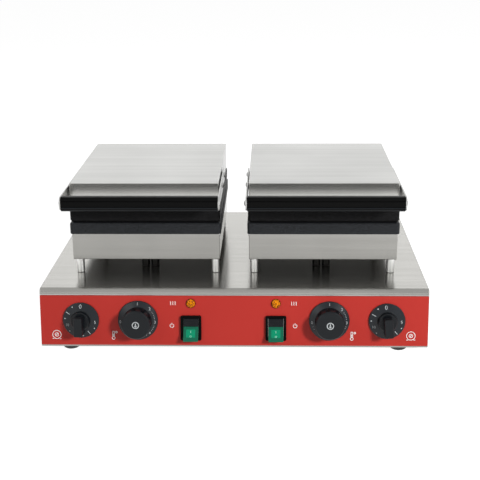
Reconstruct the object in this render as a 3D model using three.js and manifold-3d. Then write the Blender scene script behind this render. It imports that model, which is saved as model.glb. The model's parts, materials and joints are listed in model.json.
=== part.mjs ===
// A double Belgian waffle maker: two hinged cooking heads side by side on one steel base.
// Lengths are millimetres. X runs to the right, Y runs to the back and Z runs up.
// Z is 0 on the table, and Y is 0 at the front edge of the base's top until the last lines.

import * as THREE from 'three';
import { mergeVertices } from 'three/addons/utils/BufferGeometryUtils.js';
import { RoundedBoxGeometry } from 'three/addons/geometries/RoundedBoxGeometry.js';
import Module from 'manifold-3d';

const wasm = await Module();
wasm.setup();

// Clearances, and how far every cutter runs past the faces that it cuts
const seatGap = 0.3;
const runningGap = 0.5;
const holeGap = 0.4;
const overrun = 5;

// Base box, folded from steel sheet. Its width and depth come from the heads and these margins.
const baseSideMargin = 42.5;
const baseBackMargin = 78;
const baseHeight = 88;
const baseSheet = 1.5;
const baseBend = 6;
const baseSideBend = 2;
const frontLean = 11.5;

// Bottom plate with its cooling slots
const bottomSheet = 1.5;
const slotLength = 90;
const slotWidth = 5;
const slotPitch = 16;
const slotCount = 5;
const slotSpread = 300;

// Rubber feet
const footHeight = 12;
const footRadius = 13.2;
const footChamfer = 2;
const footTaper = 1.5;
const footSide = 41;
const footFront = 14.5;
const footBack = 40;

// Red front panel
const panelSheet = 1;
const panelSideMargin = 0.8;
const panelTopMargin = 10;
const panelBottomMargin = 2.6;
const panelCorner = 1.5;

// Places of the controls: in from the base's sides, and down from its top edge
const timerFromSide = 62;
const thermostatFromTimer = 85.5;
const switchFromThermostat = 79.2;
const knobDrop = 47.5;
const switchDrop = 59;
const lampDrop = 21.5;

// Shafts and threaded bushes of the timers and thermostats
const shaftRadius = 3;
const shaftReach = 10;
const bushRadius = 5;

// Timer knob: a marked skirt, a hub and a bar grip that reaches further to one side
const timerSkirtRadius = 27;
const timerSkirtRim = 2.5;
const timerSkirtRise = 3;
const timerHubRadius = 14.5;
const timerHubCap = 2.5;
const timerBarWidth = 12;
const timerBarShort = 9.6;
const timerBarLong = 18.8;
const timerBarHeight = 30;
const timerBarBite = 3;

// Clockwork case behind each timer knob
const timerCaseWidth = 46;
const timerCaseHeight = 46;
const timerCaseDepth = 32;

// Thermostat knob: a marked skirt and a round grip with finger flutes
const thermostatSkirtRadius = 30;
const thermostatSkirtRim = 2.5;
const thermostatSkirtRise = 4;
const thermostatGripRadius = 21.5;
const thermostatGripHeight = 30;
const thermostatGripDraft = 1;
const knobEdge = 1.2;
const fluteRadius = 6;
const fluteDepth = 1.6;
const fluteCount = 10;

// Thermostat case
const thermostatCaseWidth = 36;
const thermostatCaseHeight = 30;
const thermostatCaseDepth = 42;

// Rocker switch
const bezelWidth = 31;
const bezelHeight = 38;
const bezelRise = 4;
const bezelCorner = 2.5;
const switchWall = 1.2;
const switchFlange = 2.2;
const switchDepth = 24;
const rockerPivotRise = 1.2;
const rockerTravel = THREE.MathUtils.degToRad(16);
const rockerLowEnd = THREE.MathUtils.degToRad(9);
const rockerBackEnd = THREE.MathUtils.degToRad(32);
const rockerDish = 3.4;
const rockerNoseRoot = THREE.MathUtils.degToRad(15);
const rockerNoseHeight = 3.8;

// Pilot lamp
const lensRadius = 7;
const lensRim = 1.5;
const lensRise = 5;
const lampBodyRadius = 4.8;
const lampBodyLength = 24;

// Terminal block inside the base, and the gland in the back wall
const terminalWidth = 60;
const terminalDepth = 24;
const terminalHeight = 22;
const terminalPoles = 3;
const terminalWell = 4;
const terminalWellDepth = 9;
const terminalFromSide = 100;
const terminalFromBack = 60;
const glandFromSide = 60;
const glandHeight = 34;
const glandThread = 8;
const glandBore = 4.5;
const glandFlange = 12;
const glandFlangeLength = 6;
const glandNoseRadius = 10;
const glandNoseLength = 11;
const glandNut = 11.5;
const glandNutLength = 5;

// Heads: the space between their arms' screws, and their place on the base
const headGap = 33.2;
const headFront = 58;
const headWidth = 225;
const headDepth = 264;

// Legs and wire tubes that carry each head
const legLength = 26;
const legRadius = 6;
const legInset = 7.5;
const legFrontInset = 18;
const studRadius = 2.5;
const nutRadius = 4.6;
const nutHeight = 3.5;
const wireTubeRadius = 6.5;
const wireTubeBore = 3.4;
const wireTubeNeck = 5;
const wireTubeNut = 7.25;
const wireTubeFromFront = 49;

// Lower housing, an open steel pan
const housingHeight = 41.1;
const housingSheet = 1.5;
const housingCorner = 1.5;

// Cast iron plates
const lowerFlange = 17;
const lowerOverhang = 2.5;
const upperFlange = 19;
const upperOverhang = 1.5;
const plateCorner = 5;
const lowerPlateEdge = 1.5;
const upperPlateEdge = 4;
const plateBodyInset = 9;
const plateBodyDepth = 8;
const recessRim = 26;
const cellsAcross = 7;
const cellsAlong = 4;
const waffleGap = 10;
const recessDepth = 12;
const recessDraft = 1.5;
const cellChannel = 9.4;
const pegDraft = 2;
const pegBelowFace = 3.5;

// Hinge
const lugRadius = 11.5;
const lugClearance = 2;
const lugWidth = 14;
const lugBite = 8;
const innerLugX = 62;
const pinRadius = 4;
const pinHeadRadius = 6.5;
const pinHeadLength = 3;

// Upper cover, an upturned steel pan, with the mat inside it
const coverHeight = 43;
const coverSheet = 1.5;
const coverEdge = 1.5;
const matInset = 8;

// Tubular heaters
const heaterRadius = 3.5;
const heaterRuns = 4;
const heaterRunPitch = 50;
const heaterEdgeInset = 5;

// Lid arms: flat straps with round ends, held by domed screws
const armSheet = 2;
const armStandOff = 1.5;
const armWidth = 21.5;
const armBelowTop = 16.3;
const armReach = 51;
const armOverlap = 112;
const armScrewFront = 46;
const armScrewPitch = 62;
const spacerRadius = 5;
const screwHeadRadius = 4.5;
const screwHeadRise = 2.4;

// Handle bar
const handleHeight = 21.5;
const handleDepth = 20;
const handleCorner = 5;
const grooveWidth = 2.4;
const grooveDepth = 1.2;
const grooveHeightShares = [0.29, 0.71];

// How finely round things are faceted
const knobSides = 24;
const turnedSides = 12;
const smallSides = 8;
const tubeSides = 6;
const heaterSteps = 28;
const arcSteps = 3;
const bendSteps = 2;
const edgeSteps = 1;

// Joins and cuts

function solidOf(geometry) {
  const bare = geometry.clone();
  bare.deleteAttribute('normal');
  bare.deleteAttribute('uv');
  const merged = mergeVertices(bare);
  const vertProperties = new Float32Array(merged.attributes.position.array);
  const triVerts = new Uint32Array(merged.index.array);
  return new wasm.Manifold(new wasm.Mesh({ numProp: 3, vertProperties, triVerts }));
}

function geometryOf(solid) {
  const mesh = solid.getMesh();
  const geometry = new THREE.BufferGeometry();
  geometry.setAttribute('position', new THREE.BufferAttribute(mesh.vertProperties, mesh.numProp));
  geometry.setIndex(new THREE.BufferAttribute(mesh.triVerts, 1));
  const faceted = geometry.toNonIndexed();
  faceted.computeVertexNormals();
  return faceted;
}

function join(first, ...others) {
  return geometryOf(others.reduce((whole, other) => whole.add(solidOf(other)), solidOf(first)));
}

function cut(body, ...tools) {
  return geometryOf(tools.reduce((rest, tool) => rest.subtract(solidOf(tool)), solidOf(body)));
}

// Shapes

const alongX = new THREE.Matrix4().makeBasis(
  new THREE.Vector3(0, 1, 0),
  new THREE.Vector3(0, 0, 1),
  new THREE.Vector3(1, 0, 0),
);

function block(x0, x1, y0, y1, z0, z1) {
  const geometry = new THREE.BoxGeometry(x1 - x0, y1 - y0, z1 - z0);
  return geometry.translate((x0 + x1) / 2, (y0 + y1) / 2, (z0 + z1) / 2);
}

// A four-sided block whose top is smaller or larger than its foot.
function taperedBlock(footX, footY, topX, topY, z0, z1) {
  const geometry = new THREE.BoxGeometry(1, 1, 1);
  const position = geometry.attributes.position;
  for (let i = 0; i < position.count; i += 1) {
    const atTop = position.getZ(i) > 0;
    position.setX(i, position.getX(i) * (atTop ? topX : footX));
    position.setY(i, position.getY(i) * (atTop ? topY : footY));
    position.setZ(i, atTop ? z1 : z0);
  }
  return geometry;
}

// A closed outline through [x, y, radius] corners, each rounded by an arc of its radius.
function roundedOutline(corners) {
  const outline = [];
  corners.forEach(([x, y, radius], i) => {
    const corner = new THREE.Vector2(x, y);
    if (radius === 0) {
      outline.push(corner);
      return;
    }
    const before = new THREE.Vector2(...corners[(i + corners.length - 1) % corners.length]);
    const after = new THREE.Vector2(...corners[(i + 1) % corners.length]);
    const toBefore = before.sub(corner).normalize();
    const toAfter = after.sub(corner).normalize();
    const halfAngle = Math.acos(toBefore.dot(toAfter)) / 2;
    const inward = toBefore.clone().add(toAfter).normalize();
    const centre = corner.clone().addScaledVector(inward, radius / Math.sin(halfAngle));
    const first = corner.clone().addScaledVector(toBefore, radius / Math.tan(halfAngle)).sub(centre);
    const last = corner.clone().addScaledVector(toAfter, radius / Math.tan(halfAngle)).sub(centre);
    const turn = Math.atan2(first.cross(last), first.dot(last));
    for (let step = 0; step <= arcSteps; step += 1) {
      const spoke = first.clone().rotateAround(new THREE.Vector2(), turn * step / arcSteps);
      outline.push(spoke.add(centre));
    }
  });
  return outline;
}

function rectangle(x0, x1, y0, y1, radius) {
  return roundedOutline([[x0, y0, radius], [x1, y0, radius], [x1, y1, radius], [x0, y1, radius]]);
}

function extrudeZ(outline, z0, z1) {
  const shape = new THREE.Shape(outline);
  const geometry = new THREE.ExtrudeGeometry(shape, { depth: z1 - z0, bevelEnabled: false });
  return geometry.translate(0, 0, z0);
}

// The outline is in Y and Z.
function extrudeX(outline, x0, x1) {
  return extrudeZ(outline, x0, x1).applyMatrix4(alongX);
}

// The same with the edges of both end faces rounded inwards by the given radius.
function softExtrudeZ(outline, z0, z1, radius, steps) {
  const geometry = new THREE.ExtrudeGeometry(new THREE.Shape(outline), {
    depth: z1 - z0 - 2 * radius,
    bevelThickness: radius,
    bevelSize: radius,
    bevelOffset: -radius,
    bevelSegments: steps,
  });
  return geometry.translate(0, 0, z0 + radius);
}

// A turned piece on the Z axis. Its profile of [radius, height] runs up its outer side.
function turned(profile, sides) {
  const points = profile.map(([radius, height]) => new THREE.Vector2(radius, height));
  return new THREE.LatheGeometry(points, sides).rotateX(Math.PI / 2);
}

function rod(radius, z0, z1, sides) {
  return turned([[0, z0], [radius, z0], [radius, z1], [0, z1]], sides);
}

// Finishes

const finish = (color, roughness, metalness) => () => (
  new THREE.MeshStandardMaterial({ color, roughness, metalness })
);
const steel = finish('#b9b9b6', 0.35, 1);
const polishedSteel = finish('#c8c8c8', 0.15, 1);
const blackenedSteel = finish('#2b2b2a', 0.3, 0.9);
const redPaint = finish('#c0332c', 0.4, 0);
const blackPlastic = finish('#1b1b1b', 0.45, 0);
const castIron = finish('#2e3033', 0.6, 0.4);
const rubber = finish('#151515', 0.8, 0);
const ceramic = finish('#e6e2d8', 0.5, 0);
const amber = finish('#e08a00', 0.2, 0);
const greenLens = finish('#00a070', 0.2, 0);
const mineralWool = finish('#c9bf9a', 1, 0);

function piece(name, geometry, material) {
  const mesh = new THREE.Mesh(geometry, material);
  mesh.name = name;
  return mesh;
}

// Sizes that several pieces share

const armInner = headWidth / 2 + armStandOff;
const armOuter = armInner + armSheet;
const headSpacing = 2 * (armOuter + screwHeadRise) + headGap;
const baseWidth = headSpacing + headWidth + 2 * baseSideMargin;
const baseTopDepth = headFront + headDepth + baseBackMargin;
const timerX = baseWidth / 2 - timerFromSide;
const thermostatX = timerX - thermostatFromTimer;
const switchX = thermostatX - switchFromThermostat;
const terminalX = baseWidth / 2 - terminalFromSide;
const glandX = baseWidth / 2 - glandFromSide;
const wireTubePitch = 2 * wireTubeNut + runningGap;
const leanAngle = Math.atan(frontLean / baseHeight);
const panelFace = seatGap + panelSheet;
const panelLength = baseHeight / Math.cos(leanAngle);

// Where the leaning front wall lies at a height, moved inwards by an inset.
const frontAt = (z, inset) => inset / Math.cos(leanAngle) - frontLean * (baseHeight - z) / baseHeight;

// The panel's own axes: X to the right, Y up along the wall and Z straight out of it.
const panelTurn = Math.PI / 2 - leanAngle;
const panelPlace = new THREE.Matrix4().makeRotationX(panelTurn).setPosition(0, 0, baseHeight);

const switchHoleWidth = bezelWidth - 2 * switchFlange;
const switchHoleHeight = bezelHeight - 2 * switchFlange;
const sides = [['left', -1], ['right', 1]];
const headX = sign => sign * headSpacing / 2;

// Cutters for everything that passes through the front wall, in the panel's axes.
function panelHoles() {
  const reach = panelFace + overrun;
  const depth = baseSheet + overrun;
  return sides.flatMap(([, sign]) => [
    rod(bushRadius + holeGap, -depth, reach, turnedSides).translate(sign * timerX, -knobDrop, 0),
    rod(bushRadius + holeGap, -depth, reach, turnedSides).translate(sign * thermostatX, -knobDrop, 0),
    rod(lampBodyRadius + holeGap, -depth, reach, turnedSides).translate(sign * switchX, -lampDrop, 0),
    block(
      sign * switchX - switchHoleWidth / 2, sign * switchX + switchHoleWidth / 2,
      -switchDrop - switchHoleHeight / 2, -switchDrop + switchHoleHeight / 2, -depth, reach,
    ),
  ]);
}

// Places of the legs and wire tubes of a head, measured from the head's middle.
const legX = headWidth / 2 - legInset;
const legPlaces = [
  ['front_left', -legX, headFront + legFrontInset],
  ['front_right', legX, headFront + legFrontInset],
  ['rear_left', -legX, headFront + headDepth - legFrontInset],
  ['rear_right', legX, headFront + headDepth - legFrontInset],
];
const wireTubeY = headFront + wireTubeFromFront;
const wireTubePlaces = [
  ['heater_wire_tube', -wireTubePitch / 2],
  ['sensor_wire_tube', wireTubePitch / 2],
];

function headHoles(z0, z1) {
  const legs = legPlaces.map(([, x, y]) => rod(studRadius + holeGap, z0, z1, smallSides).translate(x, y, 0));
  const tubes = wireTubePlaces.map(
    ([, x]) => rod(wireTubeNeck + holeGap, z0, z1, turnedSides).translate(x, wireTubeY, 0),
  );
  return [...legs, ...tubes];
}

function baseOutline(inset, bottom, bend) {
  const top = baseHeight - inset;
  return roundedOutline([
    [frontAt(bottom, inset), bottom, 0],
    [baseTopDepth - inset, bottom, 0],
    [baseTopDepth - inset, top, bend],
    [frontAt(top, inset), top, bend],
  ]);
}

function baseShell() {
  const half = baseWidth / 2;
  const outline = baseOutline(0, -overrun, baseBend);
  const blank = softExtrudeZ(outline, -half, half, baseSideBend, bendSteps).applyMatrix4(alongX);
  const innerBend = Math.max(baseBend - baseSheet, seatGap);
  const innerOutline = baseOutline(baseSheet, -2 * overrun, innerBend);
  const inside = extrudeX(innerOutline, baseSheet - half, half - baseSheet);
  const below = block(
    -half - overrun, half + overrun, -2 * frontLean - overrun, baseTopDepth + overrun, -2 * overrun, 0,
  );
  const gland = rod(glandThread + holeGap, -overrun, baseSheet + overrun, turnedSides)
    .rotateX(Math.PI / 2)
    .translate(glandX, baseTopDepth, glandHeight);
  const heads = sides.flatMap(([, sign]) => headHoles(baseHeight - baseSheet - overrun, baseHeight + overrun)
    .map(hole => hole.translate(headX(sign), 0, 0)));
  const front = panelHoles().map(hole => hole.applyMatrix4(panelPlace));
  return cut(blank, inside, below, gland, ...heads, ...front);
}

const footPlaces = [
  ['front_left', -1, footFront],
  ['front_right', 1, footFront],
  ['rear_left', -1, baseTopDepth - footBack],
  ['rear_right', 1, baseTopDepth - footBack],
].map(([name, sign, y]) => [name, sign * (baseWidth / 2 - footSide), y]);

function bottomPlate() {
  const half = baseWidth / 2 - baseSheet - seatGap;
  const front = frontAt(bottomSheet, baseSheet) + seatGap;
  const plate = block(-half, half, front, baseTopDepth - baseSheet - seatGap, 0, bottomSheet);
  const studs = footPlaces.map(
    ([, x, y]) => rod(studRadius + holeGap, -overrun, bottomSheet + overrun, smallSides).translate(x, y, 0),
  );
  const slots = [];
  for (let i = 0; i < slotCount; i += 1) {
    const y = baseTopDepth / 2 + (i - (slotCount - 1) / 2) * slotPitch;
    for (const [, sign] of sides) {
      const x = sign * slotSpread / 2;
      slots.push(block(
        x - slotLength / 2, x + slotLength / 2, y - slotWidth / 2, y + slotWidth / 2,
        -overrun, bottomSheet + overrun,
      ));
    }
  }
  return cut(plate, ...studs, ...slots);
}

// A rubber foot with its stud through the bottom plate and the nut above it.
function foot() {
  const nutFoot = bottomSheet + seatGap;
  return turned([
    [0, -footHeight],
    [footRadius - footChamfer, -footHeight],
    [footRadius, -footHeight + footChamfer],
    [footRadius - footTaper, -seatGap],
    [studRadius, -seatGap],
    [studRadius, nutFoot],
    [nutRadius, nutFoot],
    [nutRadius, nutFoot + nutHeight],
    [0, nutFoot + nutHeight],
  ], turnedSides);
}

function frontPanel() {
  const half = baseWidth / 2 - panelSideMargin;
  const outline = rectangle(-half, half, panelBottomMargin - panelLength, -panelTopMargin, panelCorner);
  return cut(extrudeZ(outline, seatGap, panelFace), ...panelHoles());
}

function terminalBlock() {
  const foot = bottomSheet + seatGap;
  const back = baseTopDepth - terminalFromBack;
  const body = block(
    terminalX - terminalWidth / 2, terminalX + terminalWidth / 2, back - terminalDepth, back,
    foot, foot + terminalHeight,
  );
  const wells = [];
  for (let pole = 0; pole < terminalPoles; pole += 1) {
    const x = terminalX + (pole - (terminalPoles - 1) / 2) * terminalWidth / terminalPoles;
    const top = foot + terminalHeight;
    wells.push(rod(terminalWell, top - terminalWellDepth, top + overrun, smallSides)
      .translate(x, back - terminalDepth / 2, 0));
  }
  return cut(body, ...wells);
}

// The gland is turned round its bore: nut inside, thread through the wall, flange and nose outside.
function cordGland() {
  const outside = seatGap;
  const inside = -baseSheet - seatGap;
  return turned([
    [glandBore, inside - glandNutLength],
    [glandNut, inside - glandNutLength],
    [glandNut, inside],
    [glandThread, inside],
    [glandThread, outside],
    [glandFlange, outside],
    [glandFlange, outside + glandFlangeLength],
    [glandNoseRadius, outside + glandFlangeLength],
    [glandNoseRadius - glandFlangeLength / 2, outside + glandFlangeLength + glandNoseLength],
    [glandBore, outside + glandFlangeLength + glandNoseLength],
    [glandBore, inside - glandNutLength],
  ], turnedSides);
}

// Controls, in the panel's axes with Z 0 on the steel wall

const knobBack = panelFace + runningGap;
const shaftBore = () => rod(shaftRadius + runningGap, 0, knobBack + shaftReach + runningGap, turnedSides);

// A knob's turned body: a skirt that rises to the grip, and the grip.
function knobBody(skirtRadius, rim, rise, gripRadius, gripTopRadius, gripHeight, edge) {
  return turned([
    [0, knobBack],
    [skirtRadius, knobBack],
    [skirtRadius, knobBack + rim],
    [gripRadius, knobBack + rim + rise],
    [gripTopRadius, knobBack + gripHeight - edge],
    [gripTopRadius - edge, knobBack + gripHeight],
    [0, knobBack + gripHeight],
  ], knobSides);
}

function timerKnob() {
  const barRadius = timerBarWidth / 2;
  const hubHeight = shaftReach + runningGap + timerHubCap;
  const body = knobBody(
    timerSkirtRadius, timerSkirtRim, timerSkirtRise, timerHubRadius, timerHubRadius - knobEdge,
    hubHeight, knobEdge,
  );
  const outline = rectangle(-barRadius, barRadius, -timerBarLong, timerBarShort, barRadius / 2);
  const foot = knobBack + timerSkirtRim + timerSkirtRise - timerBarBite;
  const bar = softExtrudeZ(outline, foot, knobBack + timerBarHeight, knobEdge, edgeSteps);
  return cut(join(body, bar), shaftBore());
}

function thermostatKnob() {
  const body = knobBody(
    thermostatSkirtRadius, thermostatSkirtRim, thermostatSkirtRise, thermostatGripRadius,
    thermostatGripRadius - thermostatGripDraft, thermostatGripHeight, knobEdge,
  );
  const fluteFoot = knobBack + thermostatSkirtRim + thermostatSkirtRise;
  const flutes = [];
  for (let i = 0; i < fluteCount; i += 1) {
    flutes.push(rod(fluteRadius, fluteFoot, knobBack + thermostatGripHeight + overrun, smallSides)
      .translate(thermostatGripRadius + fluteRadius - fluteDepth, 0, 0)
      .rotateZ(2 * Math.PI * (i + 1 / 2) / fluteCount));
  }
  return cut(body, shaftBore(), ...flutes);
}

// A case behind the wall with its bush through the wall and its shaft into the knob.
function controlCase(width, height, depth) {
  const front = -baseSheet - seatGap;
  const spindle = turned([
    [0, front - seatGap],
    [bushRadius, front - seatGap],
    [bushRadius, panelFace],
    [shaftRadius, panelFace],
    [shaftRadius, knobBack + shaftReach],
    [0, knobBack + shaftReach],
  ], turnedSides);
  return join(block(-width / 2, width / 2, -height / 2, height / 2, front - depth, front), spindle);
}

const rockerPivot = panelFace + rockerPivotRise;
const sleeveHalfWidth = switchHoleWidth / 2 - holeGap;
const sleeveHalfHeight = switchHoleHeight / 2 - holeGap;
const cavityHalfWidth = sleeveHalfWidth - switchWall;
const cavityHalfHeight = sleeveHalfHeight - switchWall;

function rockerFrame() {
  const bezel = extrudeZ(
    rectangle(-bezelWidth / 2, bezelWidth / 2, -bezelHeight / 2, bezelHeight / 2, bezelCorner),
    panelFace + seatGap, panelFace + seatGap + bezelRise,
  );
  const sleeve = block(
    -sleeveHalfWidth, sleeveHalfWidth, -sleeveHalfHeight, sleeveHalfHeight,
    -switchDepth, panelFace + seatGap + bezelRise / 2,
  );
  const cavity = block(
    -cavityHalfWidth, cavityHalfWidth, -cavityHalfHeight, cavityHalfHeight,
    switchWall - switchDepth, panelFace + bezelRise + overrun,
  );
  return cut(join(bezel, sleeve), cavity);
}

// The rocker turns about its own X axis. Its ends are arcs round that axis, its front is dished,
// and at rest its upper half is pressed in. Its lower end has a nose that overhangs the bezel, and
// its underside lies flat over the bezel once that end is pressed in.
function rocker() {
  const radius = cavityHalfHeight - runningGap;
  const spoke = angle => new THREE.Vector2(radius * Math.cos(angle), radius * Math.sin(angle));
  const outline = [];
  const upper = [-rockerBackEnd, rockerLowEnd];
  const lower = [Math.PI - rockerNoseRoot - rockerTravel, Math.PI + rockerBackEnd];
  const middle = (upper[1] + lower[0]) / 2;
  const noseRoot = spoke(lower[0]);
  const noseEnd = -cavityHalfHeight - switchWall;
  const noseUnderside = noseRoot.y + (noseRoot.x - noseEnd) * Math.tan(rockerTravel);
  for (let step = 0; step <= arcSteps; step += 1) {
    outline.push(spoke(THREE.MathUtils.lerp(upper[0], upper[1], step / arcSteps)));
  }
  outline.push(new THREE.Vector2(rockerDish * Math.cos(middle), rockerDish * Math.sin(middle)));
  outline.push(new THREE.Vector2(noseEnd, noseUnderside + rockerNoseHeight));
  outline.push(new THREE.Vector2(noseEnd, noseUnderside));
  for (let step = 0; step <= arcSteps; step += 1) {
    outline.push(spoke(THREE.MathUtils.lerp(lower[0], lower[1], step / arcSteps)));
  }
  const half = cavityHalfWidth - runningGap;
  return extrudeX(outline, -half, half);
}

function pilotLamp() {
  const lensFoot = panelFace + seatGap;
  return turned([
    [0, -baseSheet - lampBodyLength],
    [lampBodyRadius, -baseSheet - lampBodyLength],
    [lampBodyRadius, lensFoot],
    [lensRadius, lensFoot],
    [lensRadius, lensFoot + lensRim],
    [lensRadius * Math.cos(Math.PI / 5), lensFoot + lensRim + (lensRise - lensRim) * Math.sin(Math.PI / 5)],
    [lensRadius * Math.cos(Math.PI / 3), lensFoot + lensRim + (lensRise - lensRim) * Math.sin(Math.PI / 3)],
    [0, lensFoot + lensRise],
  ], turnedSides);
}

// Heads, with Z 0 on the top of the base and X 0 in the middle of the head

const housingTop = legLength + housingHeight;
const headBack = headFront + headDepth;
const partingBelow = housingTop + seatGap + lowerFlange;
const partingAbove = partingBelow + seatGap;
const coverRim = partingAbove + upperFlange + seatGap;
const hingeY = headBack + Math.max(lowerOverhang, upperOverhang) + lugClearance + lugRadius;
const hingeZ = (partingBelow + partingAbove) / 2;
const outerLugX = innerLugX + lugWidth + runningGap;

// The pockets are square. The same grid has to fit both ways inside the rim of both plates.
const plateWidth = headWidth + 2 * Math.min(lowerOverhang, upperOverhang);
const plateDepth = headDepth + 2 * Math.min(lowerOverhang, upperOverhang);
const cellPitch = Math.min(
  (plateWidth - 2 * recessRim) / cellsAcross,
  (plateDepth - 2 * recessRim - waffleGap) / (2 * cellsAlong),
);

// A leg: a round post with a stud and nut at each end, through the base's top and the pan's floor.
function leg() {
  const lowerNut = -baseSheet - seatGap;
  const upperNut = legLength + housingSheet + seatGap;
  return turned([
    [0, lowerNut - nutHeight],
    [nutRadius, lowerNut - nutHeight],
    [nutRadius, lowerNut],
    [studRadius, lowerNut],
    [studRadius, seatGap],
    [legRadius, seatGap],
    [legRadius, legLength - seatGap],
    [studRadius, legLength - seatGap],
    [studRadius, upperNut],
    [nutRadius, upperNut],
    [nutRadius, upperNut + nutHeight],
    [0, upperNut + nutHeight],
  ], smallSides);
}

// A wire tube: open from end to end, with a thin nut under the base's top and one in the pan.
function wireTube() {
  const lowerNut = -baseSheet - seatGap;
  const upperNut = legLength + housingSheet + seatGap;
  return turned([
    [wireTubeBore, lowerNut - nutHeight],
    [wireTubeNut, lowerNut - nutHeight],
    [wireTubeNut, lowerNut],
    [wireTubeNeck, lowerNut],
    [wireTubeNeck, seatGap],
    [wireTubeRadius, seatGap],
    [wireTubeRadius, legLength - seatGap],
    [wireTubeNeck, legLength - seatGap],
    [wireTubeNeck, upperNut],
    [wireTubeNut, upperNut],
    [wireTubeNut, upperNut + nutHeight],
    [wireTubeBore, upperNut + nutHeight],
    [wireTubeBore, lowerNut - nutHeight],
  ], turnedSides);
}

function lowerHousing() {
  const half = headWidth / 2;
  const outer = rectangle(-half, half, headFront, headBack, housingCorner);
  const inner = rectangle(
    housingSheet - half, half - housingSheet, headFront + housingSheet, headBack - housingSheet,
    Math.max(housingCorner - housingSheet, seatGap),
  );
  return cut(
    extrudeZ(outer, legLength, housingTop),
    extrudeZ(inner, legLength + housingSheet, housingTop + overrun),
    ...headHoles(legLength - overrun, legLength + housingSheet + overrun),
  );
}

// A cast plate with its working face up at Z 0: a flange with a chamfer round that face, a thicker
// body below it, two waffle recesses with their pegs, and two hinge lugs from the given distance out.
function castPlate(overhang, flange, edge, lugX) {
  const half = headWidth / 2 + overhang;
  const front = headFront - overhang;
  const back = headBack + overhang;
  const middle = (front + back) / 2;
  const flangeOutline = rectangle(-half, half, front, back, plateCorner);
  const bodyDepth = flange + plateBodyDepth;
  const bodyHalf = headWidth / 2 - plateBodyInset;
  const body = block(
    -bodyHalf, bodyHalf, headFront + plateBodyInset, headBack - plateBodyInset,
    -bodyDepth, -flange / 2,
  );
  const pieces = [body];
  const lugAxis = seatGap / 2;
  for (const [, sign] of sides) {
    const inner = Math.min(sign * lugX, sign * (lugX + lugWidth));
    const outer = inner + lugWidth;
    pieces.push(block(inner, outer, back - lugBite, hingeY, lugAxis - lugRadius, -seatGap));
    pieces.push(rod(lugRadius, inner, outer, turnedSides)
      .rotateZ(Math.PI / 2)
      .applyMatrix4(alongX)
      .translate(0, hingeY, lugAxis));
  }
  const recessX = cellPitch * cellsAcross;
  const recessY = cellPitch * cellsAlong;
  const recesses = sides.map(([, sign]) => taperedBlock(
    recessX - 2 * recessDraft, recessY - 2 * recessDraft, recessX + recessDraft, recessY + recessDraft,
    -recessDepth, overrun,
  ).translate(0, middle + sign * (recessY + waffleGap) / 2, 0));
  const reach = outerLugX + lugWidth + overrun;
  const bore = rod(pinRadius + holeGap, -reach, reach, smallSides)
    .rotateY(Math.PI / 2)
    .translate(0, hingeY, lugAxis);
  const flangeBlock = join(
    softExtrudeZ(flangeOutline, -flange, 0, edge, edgeSteps),
    extrudeZ(flangeOutline, -flange, -flange / 2),
  );
  const blank = cut(join(flangeBlock, ...pieces), ...recesses, bore);
  return join(blank, ...pegs(middle, recessY));
}

// The pegs that press the pockets: tapered blocks rooted just under the floor of each recess.
function pegs(middle, recessY) {
  const pegFoot = cellPitch - cellChannel;
  const pegTop = pegFoot - 2 * pegDraft;
  const grid = [];
  for (const [, sign] of sides) {
    for (let column = 0; column < cellsAcross; column += 1) {
      for (let row = 0; row < cellsAlong; row += 1) {
        const x = (column - (cellsAcross - 1) / 2) * cellPitch;
        const y = middle + sign * (recessY + waffleGap) / 2 + (row - (cellsAlong - 1) / 2) * cellPitch;
        grid.push(taperedBlock(pegFoot, pegFoot, pegTop, pegTop, -recessDepth - seatGap, -pegBelowFace)
          .translate(x, y, 0));
      }
    }
  }
  return grid;
}

// A tubular heater: straight runs along Y, joined by half turns, centred on Z 0.
function heater() {
  const bend = heaterRunPitch / 2;
  const front = headFront + plateBodyInset + heaterEdgeInset + bend;
  const back = headBack - plateBodyInset - heaterEdgeInset - bend;
  const path = new THREE.CurvePath();
  for (let run = 0; run < heaterRuns; run += 1) {
    const x = (run - (heaterRuns - 1) / 2) * heaterRunPitch;
    const goesForward = run % 2 === 0;
    const start = new THREE.Vector3(x, goesForward ? back : front, 0);
    const end = new THREE.Vector3(x, goesForward ? front : back, 0);
    path.add(new THREE.LineCurve3(start, end));
    if (run < heaterRuns - 1) {
      path.add(halfTurn(end, bend, goesForward ? -1 : 1));
    }
  }
  const section = [];
  for (let side = 0; side < tubeSides; side += 1) {
    const angle = 2 * Math.PI * side / tubeSides;
    section.push(new THREE.Vector2(heaterRadius * Math.cos(angle), heaterRadius * Math.sin(angle)));
  }
  return new THREE.ExtrudeGeometry(new THREE.Shape(section), { steps: heaterSteps, extrudePath: path });
}

// A half circle in the plane Z 0 from a point to the next run beside it.
function halfTurn(start, bend, bulge) {
  const curve = new THREE.Curve();
  curve.getPoint = share => new THREE.Vector3(
    start.x + bend * (1 - Math.cos(Math.PI * share)),
    start.y + bulge * bend * Math.sin(Math.PI * share),
    0,
  );
  return curve;
}

function hingePin() {
  const shoulder = outerLugX + lugWidth + seatGap;
  return turned([
    [0, -shoulder - pinHeadLength],
    [pinHeadRadius, -shoulder - pinHeadLength],
    [pinHeadRadius, -shoulder],
    [pinRadius, -shoulder],
    [pinRadius, shoulder],
    [pinHeadRadius, shoulder],
    [pinHeadRadius, shoulder + pinHeadLength],
    [0, shoulder + pinHeadLength],
  ], smallSides);
}

const coverTop = coverRim + coverHeight;
const coverMiddle = headFront + headDepth / 2;

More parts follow.
